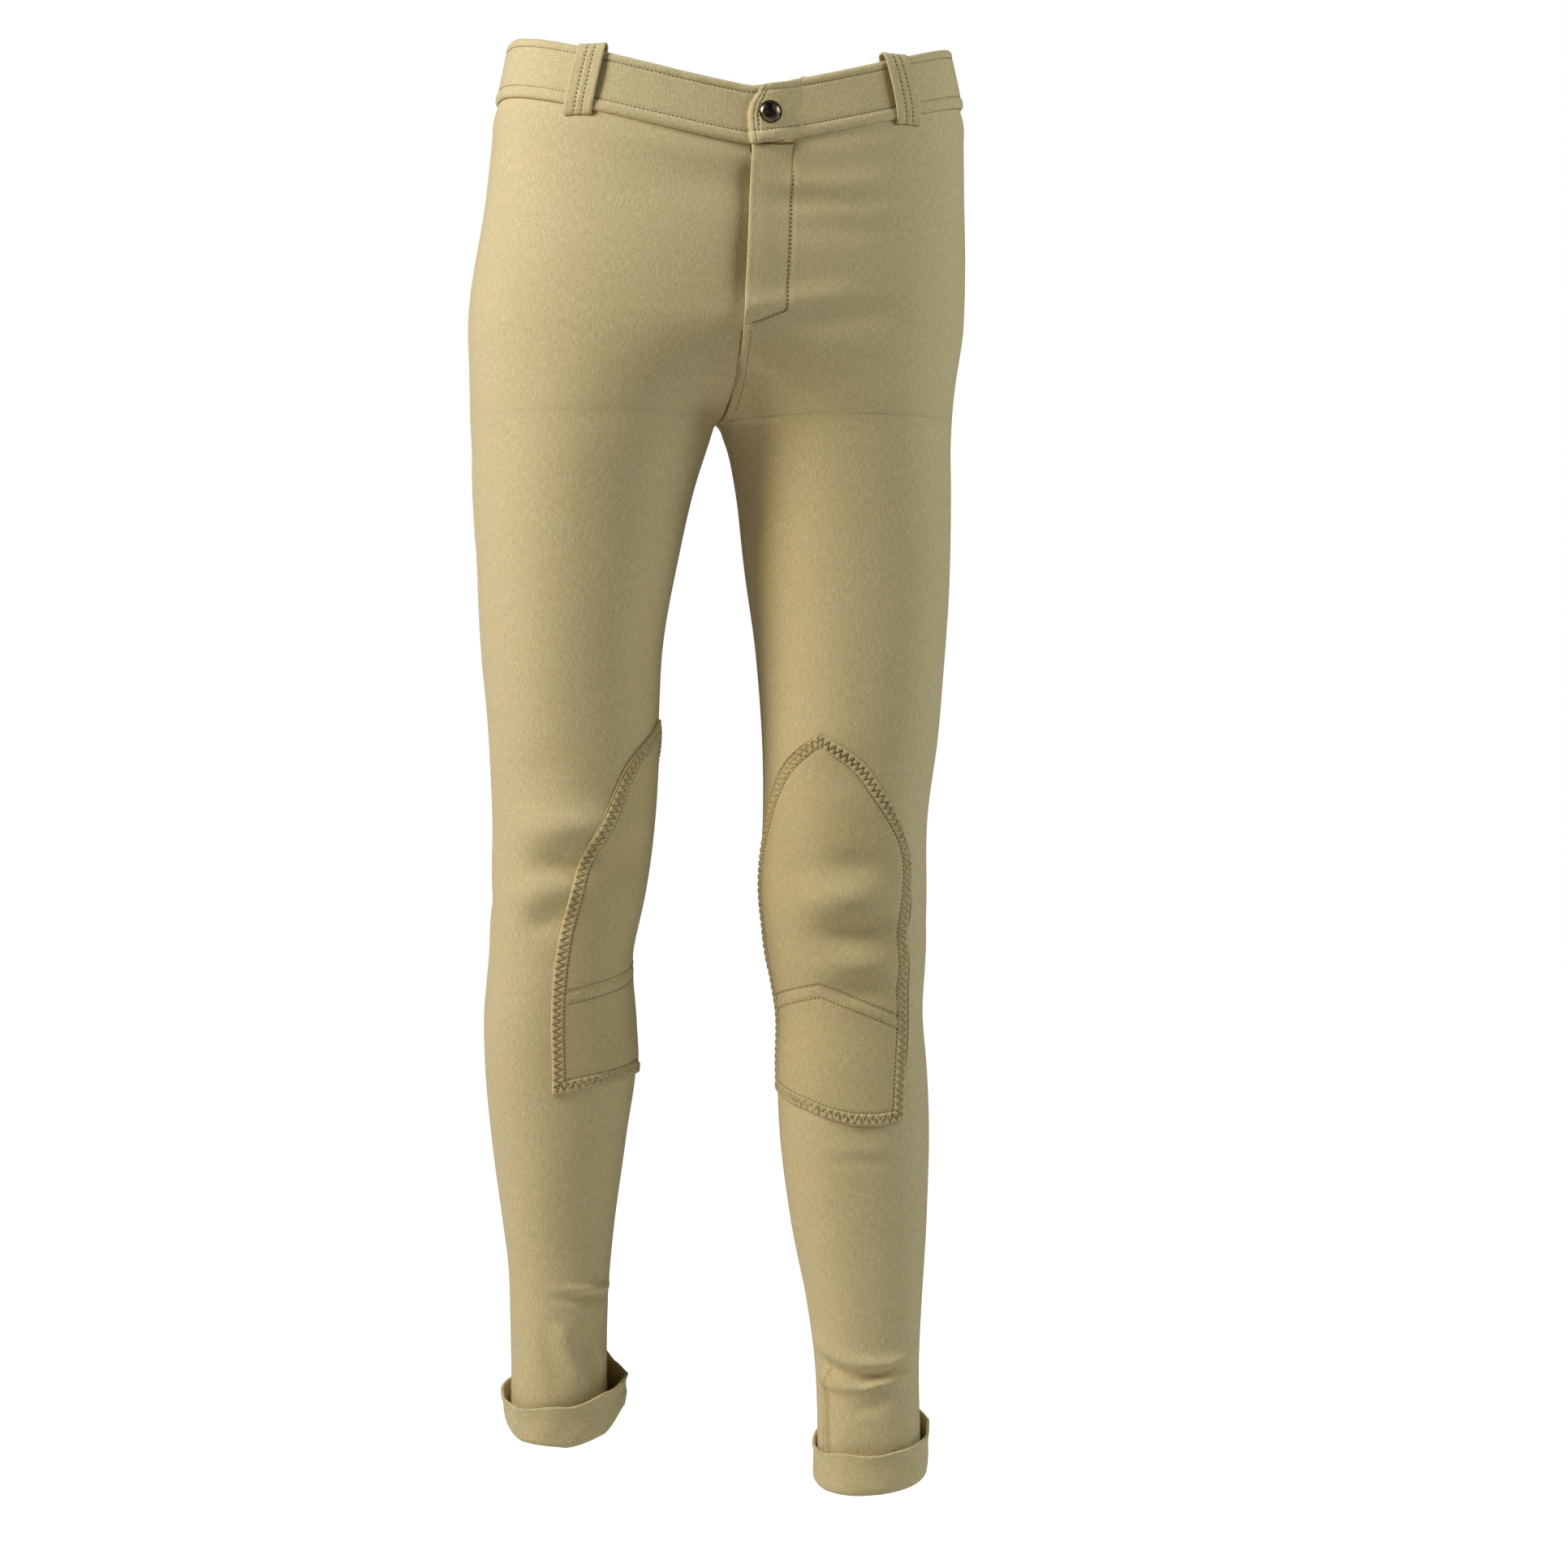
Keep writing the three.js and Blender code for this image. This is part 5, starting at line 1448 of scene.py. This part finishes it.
for side in (RIGHT, LEFT):
    whole = off_outline(side, np.zeros(1), 0.0)[2]
    half_turns = np.round(np.arange(2, whole - 2, ZIGZAG / 2) / (ZIGZAG / 2))
    inwards = np.where(half_turns % 2 == 0, FAR_EDGE, NEAR_EDGE)
    phi, z, _ = off_outline(side, half_turns * ZIGZAG / 2, inwards)
    place = on_leg(side, phi, z, patch_height(side, phi, z) - 0.05)
    true = np.abs(from_outline(side, phi, z)[0] - inwards) < 1.2
    keep = true[:-1] & true[1:]
    zigzag = (place[:-1][keep], place[1:][keep], leg_normal(side, phi, z)[:-1][keep])
    bend(threads(f"{WORD[side]}_patch_zigzag", [zigzag], edge_thread), side)
    phi, z, _ = off_outline(side, np.arange(10, whole - 10, 1.0), STRAIGHT_ROW)
    good = from_outline(side, phi, z)[0] > STRAIGHT_ROW - 0.5
    rows = [patch_row(side, phi[good], z[good])]
    ends = PATCH[side]["join"]
    phi = np.linspace(ends[0][0] - 9, ends[-1][0] + 9, 300)
    rows += [patch_row(side, phi, between(ends, phi) - down) for down in (-1.4, CHEVRON)]
    bend(threads(f"{WORD[side]}_patch_stitches", rows), side)
    print(WORD[side], "patch stitches", sum(len(row[0]) for row in rows))

# %% [markdown]
# Each piece of cloth is declared with the flat size that it was cut to. Lengths are the worn lengths.
# Widths are the worn girths divided by about 1.08, the stretch that holds such a knit to the leg. The
# third value is the cut's own flat area in square metres, where the piece isn't a rectangle.

# %% Sheets
FLAT = {
    "right_front_panel": (0.245, 0.915, 0.168), "left_front_panel": (0.245, 0.94, 0.168),
    "right_back_panel": (0.245, 0.905, 0.158), "left_back_panel": (0.245, 0.94, 0.166),
    "waistband": (0.86, 0.082), "waist_tab": (0.037, 0.043),
    "right_patch_upper": (0.108, 0.187, 0.0192), "left_patch_upper": (0.11, 0.19, 0.0196),
    "right_patch_lower": (0.108, 0.086, 0.0088), "left_patch_lower": (0.11, 0.092, 0.0092),
    "right_turned_cuff": (0.25, 0.056), "left_turned_cuff": (0.24, 0.054),
    "fly_flap_cloth": (0.029, 0.124), "fly_facing_cloth": (0.016, 0.118), "fly_shield_cloth": (0.026, 0.108),
    "zip_tape_cloth_right": (0.0106, 0.106), "zip_tape_cloth_left": (0.0136, 0.106),
    "care_label_satin": (0.0165, 0.024)}
FLAT.update({f"{name}_loop": (0.0174, 0.076) for name in LOOP_SPOTS})
for name, (wide, long, *cut) in FLAT.items():
    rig.sheet(bpy.data.objects[name], flat=(wide, long), held="stretched", area=cut[0] if cut else None)
print(len(FLAT), "sheets declared")

# %% [markdown]
# A high soft light stands far to one side, so the near side is bright and the front falls off; a cooler,
# weaker one on the other side lifts that edge. The ground and surroundings are plain and pale.

# %% Light and floor
def area_light(name, place, size, power, colour):
    """A round soft light that looks at the middle of the garment."""
    light = bpy.data.lights.new(name, "AREA")
    light.shape, light.size, light.energy, light.color = "DISK", size, power, colour
    lamp = bpy.data.objects.new(name, light)
    lamp.location = place
    lamp.rotation_euler = (Vector((0, 0, -0.5)) - Vector(place)).to_track_quat("-Z", "Y").to_euler()
    bpy.context.scene.collection.objects.link(lamp)


def camera_only(tree, otherwise, socket):
    """Links a socket to 1 for rays from the camera, and to another value for all the rest."""
    path = tree.nodes.new("ShaderNodeLightPath")
    tree.links.new(ranged(tree, path.outputs["Is Camera Ray"], 0, 1, otherwise, 1.0), socket)


area_light("key", (-2.73, -0.99, 1.3), 1.2, 66, (1.0, 0.875, 0.6))
area_light("near key", (-1.35, -0.36, 0.9), 0.8, 21, (0.64, 0.76, 1.0))
area_light("fill", (2.51, -1.45, 1.3), 1.2, 19, (0.62, 0.88, 1.0))
area_light("near fill", (1.41, -0.51, 0.6), 0.8, 9, (1.0, 0.93, 0.75))
area_light("low", (2.89, -0.25, -0.9), 1.2, 7, (0.8, 0.95, 1.0))
world = bpy.data.worlds.new("studio")
bpy.context.scene.world = world
world.use_nodes = True
sky = world.node_tree.nodes["Background"]
sky.inputs["Color"].default_value = (1, 1, 1, 1)
camera_only(world.node_tree, 0.02, sky.inputs["Strength"])
WIDE, LOW = 9000, -1080
corners = [[x * WIDE, y * WIDE, LOW] for x, y in ((-1, -1), (1, -1), (1, 1), (-1, 1))]
floor = put("floor", corners, np.array([[0, 1, 2, 3]]))
paper, tree, shader = nodes_of("pale floor", (0.8, 0.8, 0.8), 0.9)
shader.inputs["Emission Color"].default_value = (1, 1, 1, 1)
camera_only(tree, 0.0, shader.inputs["Emission Strength"])
floor.data.materials.append(paper)
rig.stage(floor)
bpy.context.scene.view_settings.view_transform = "Standard"

# %% Sizes
low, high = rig.bounds()
with open("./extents.json", "w") as report:
    json.dump({"cad": [list(cad_low), list(cad_high)], "visual": [list(low), list(high)]}, report)
print("visual box", [round(v, 4) for v in low], [round(v, 4) for v in high])
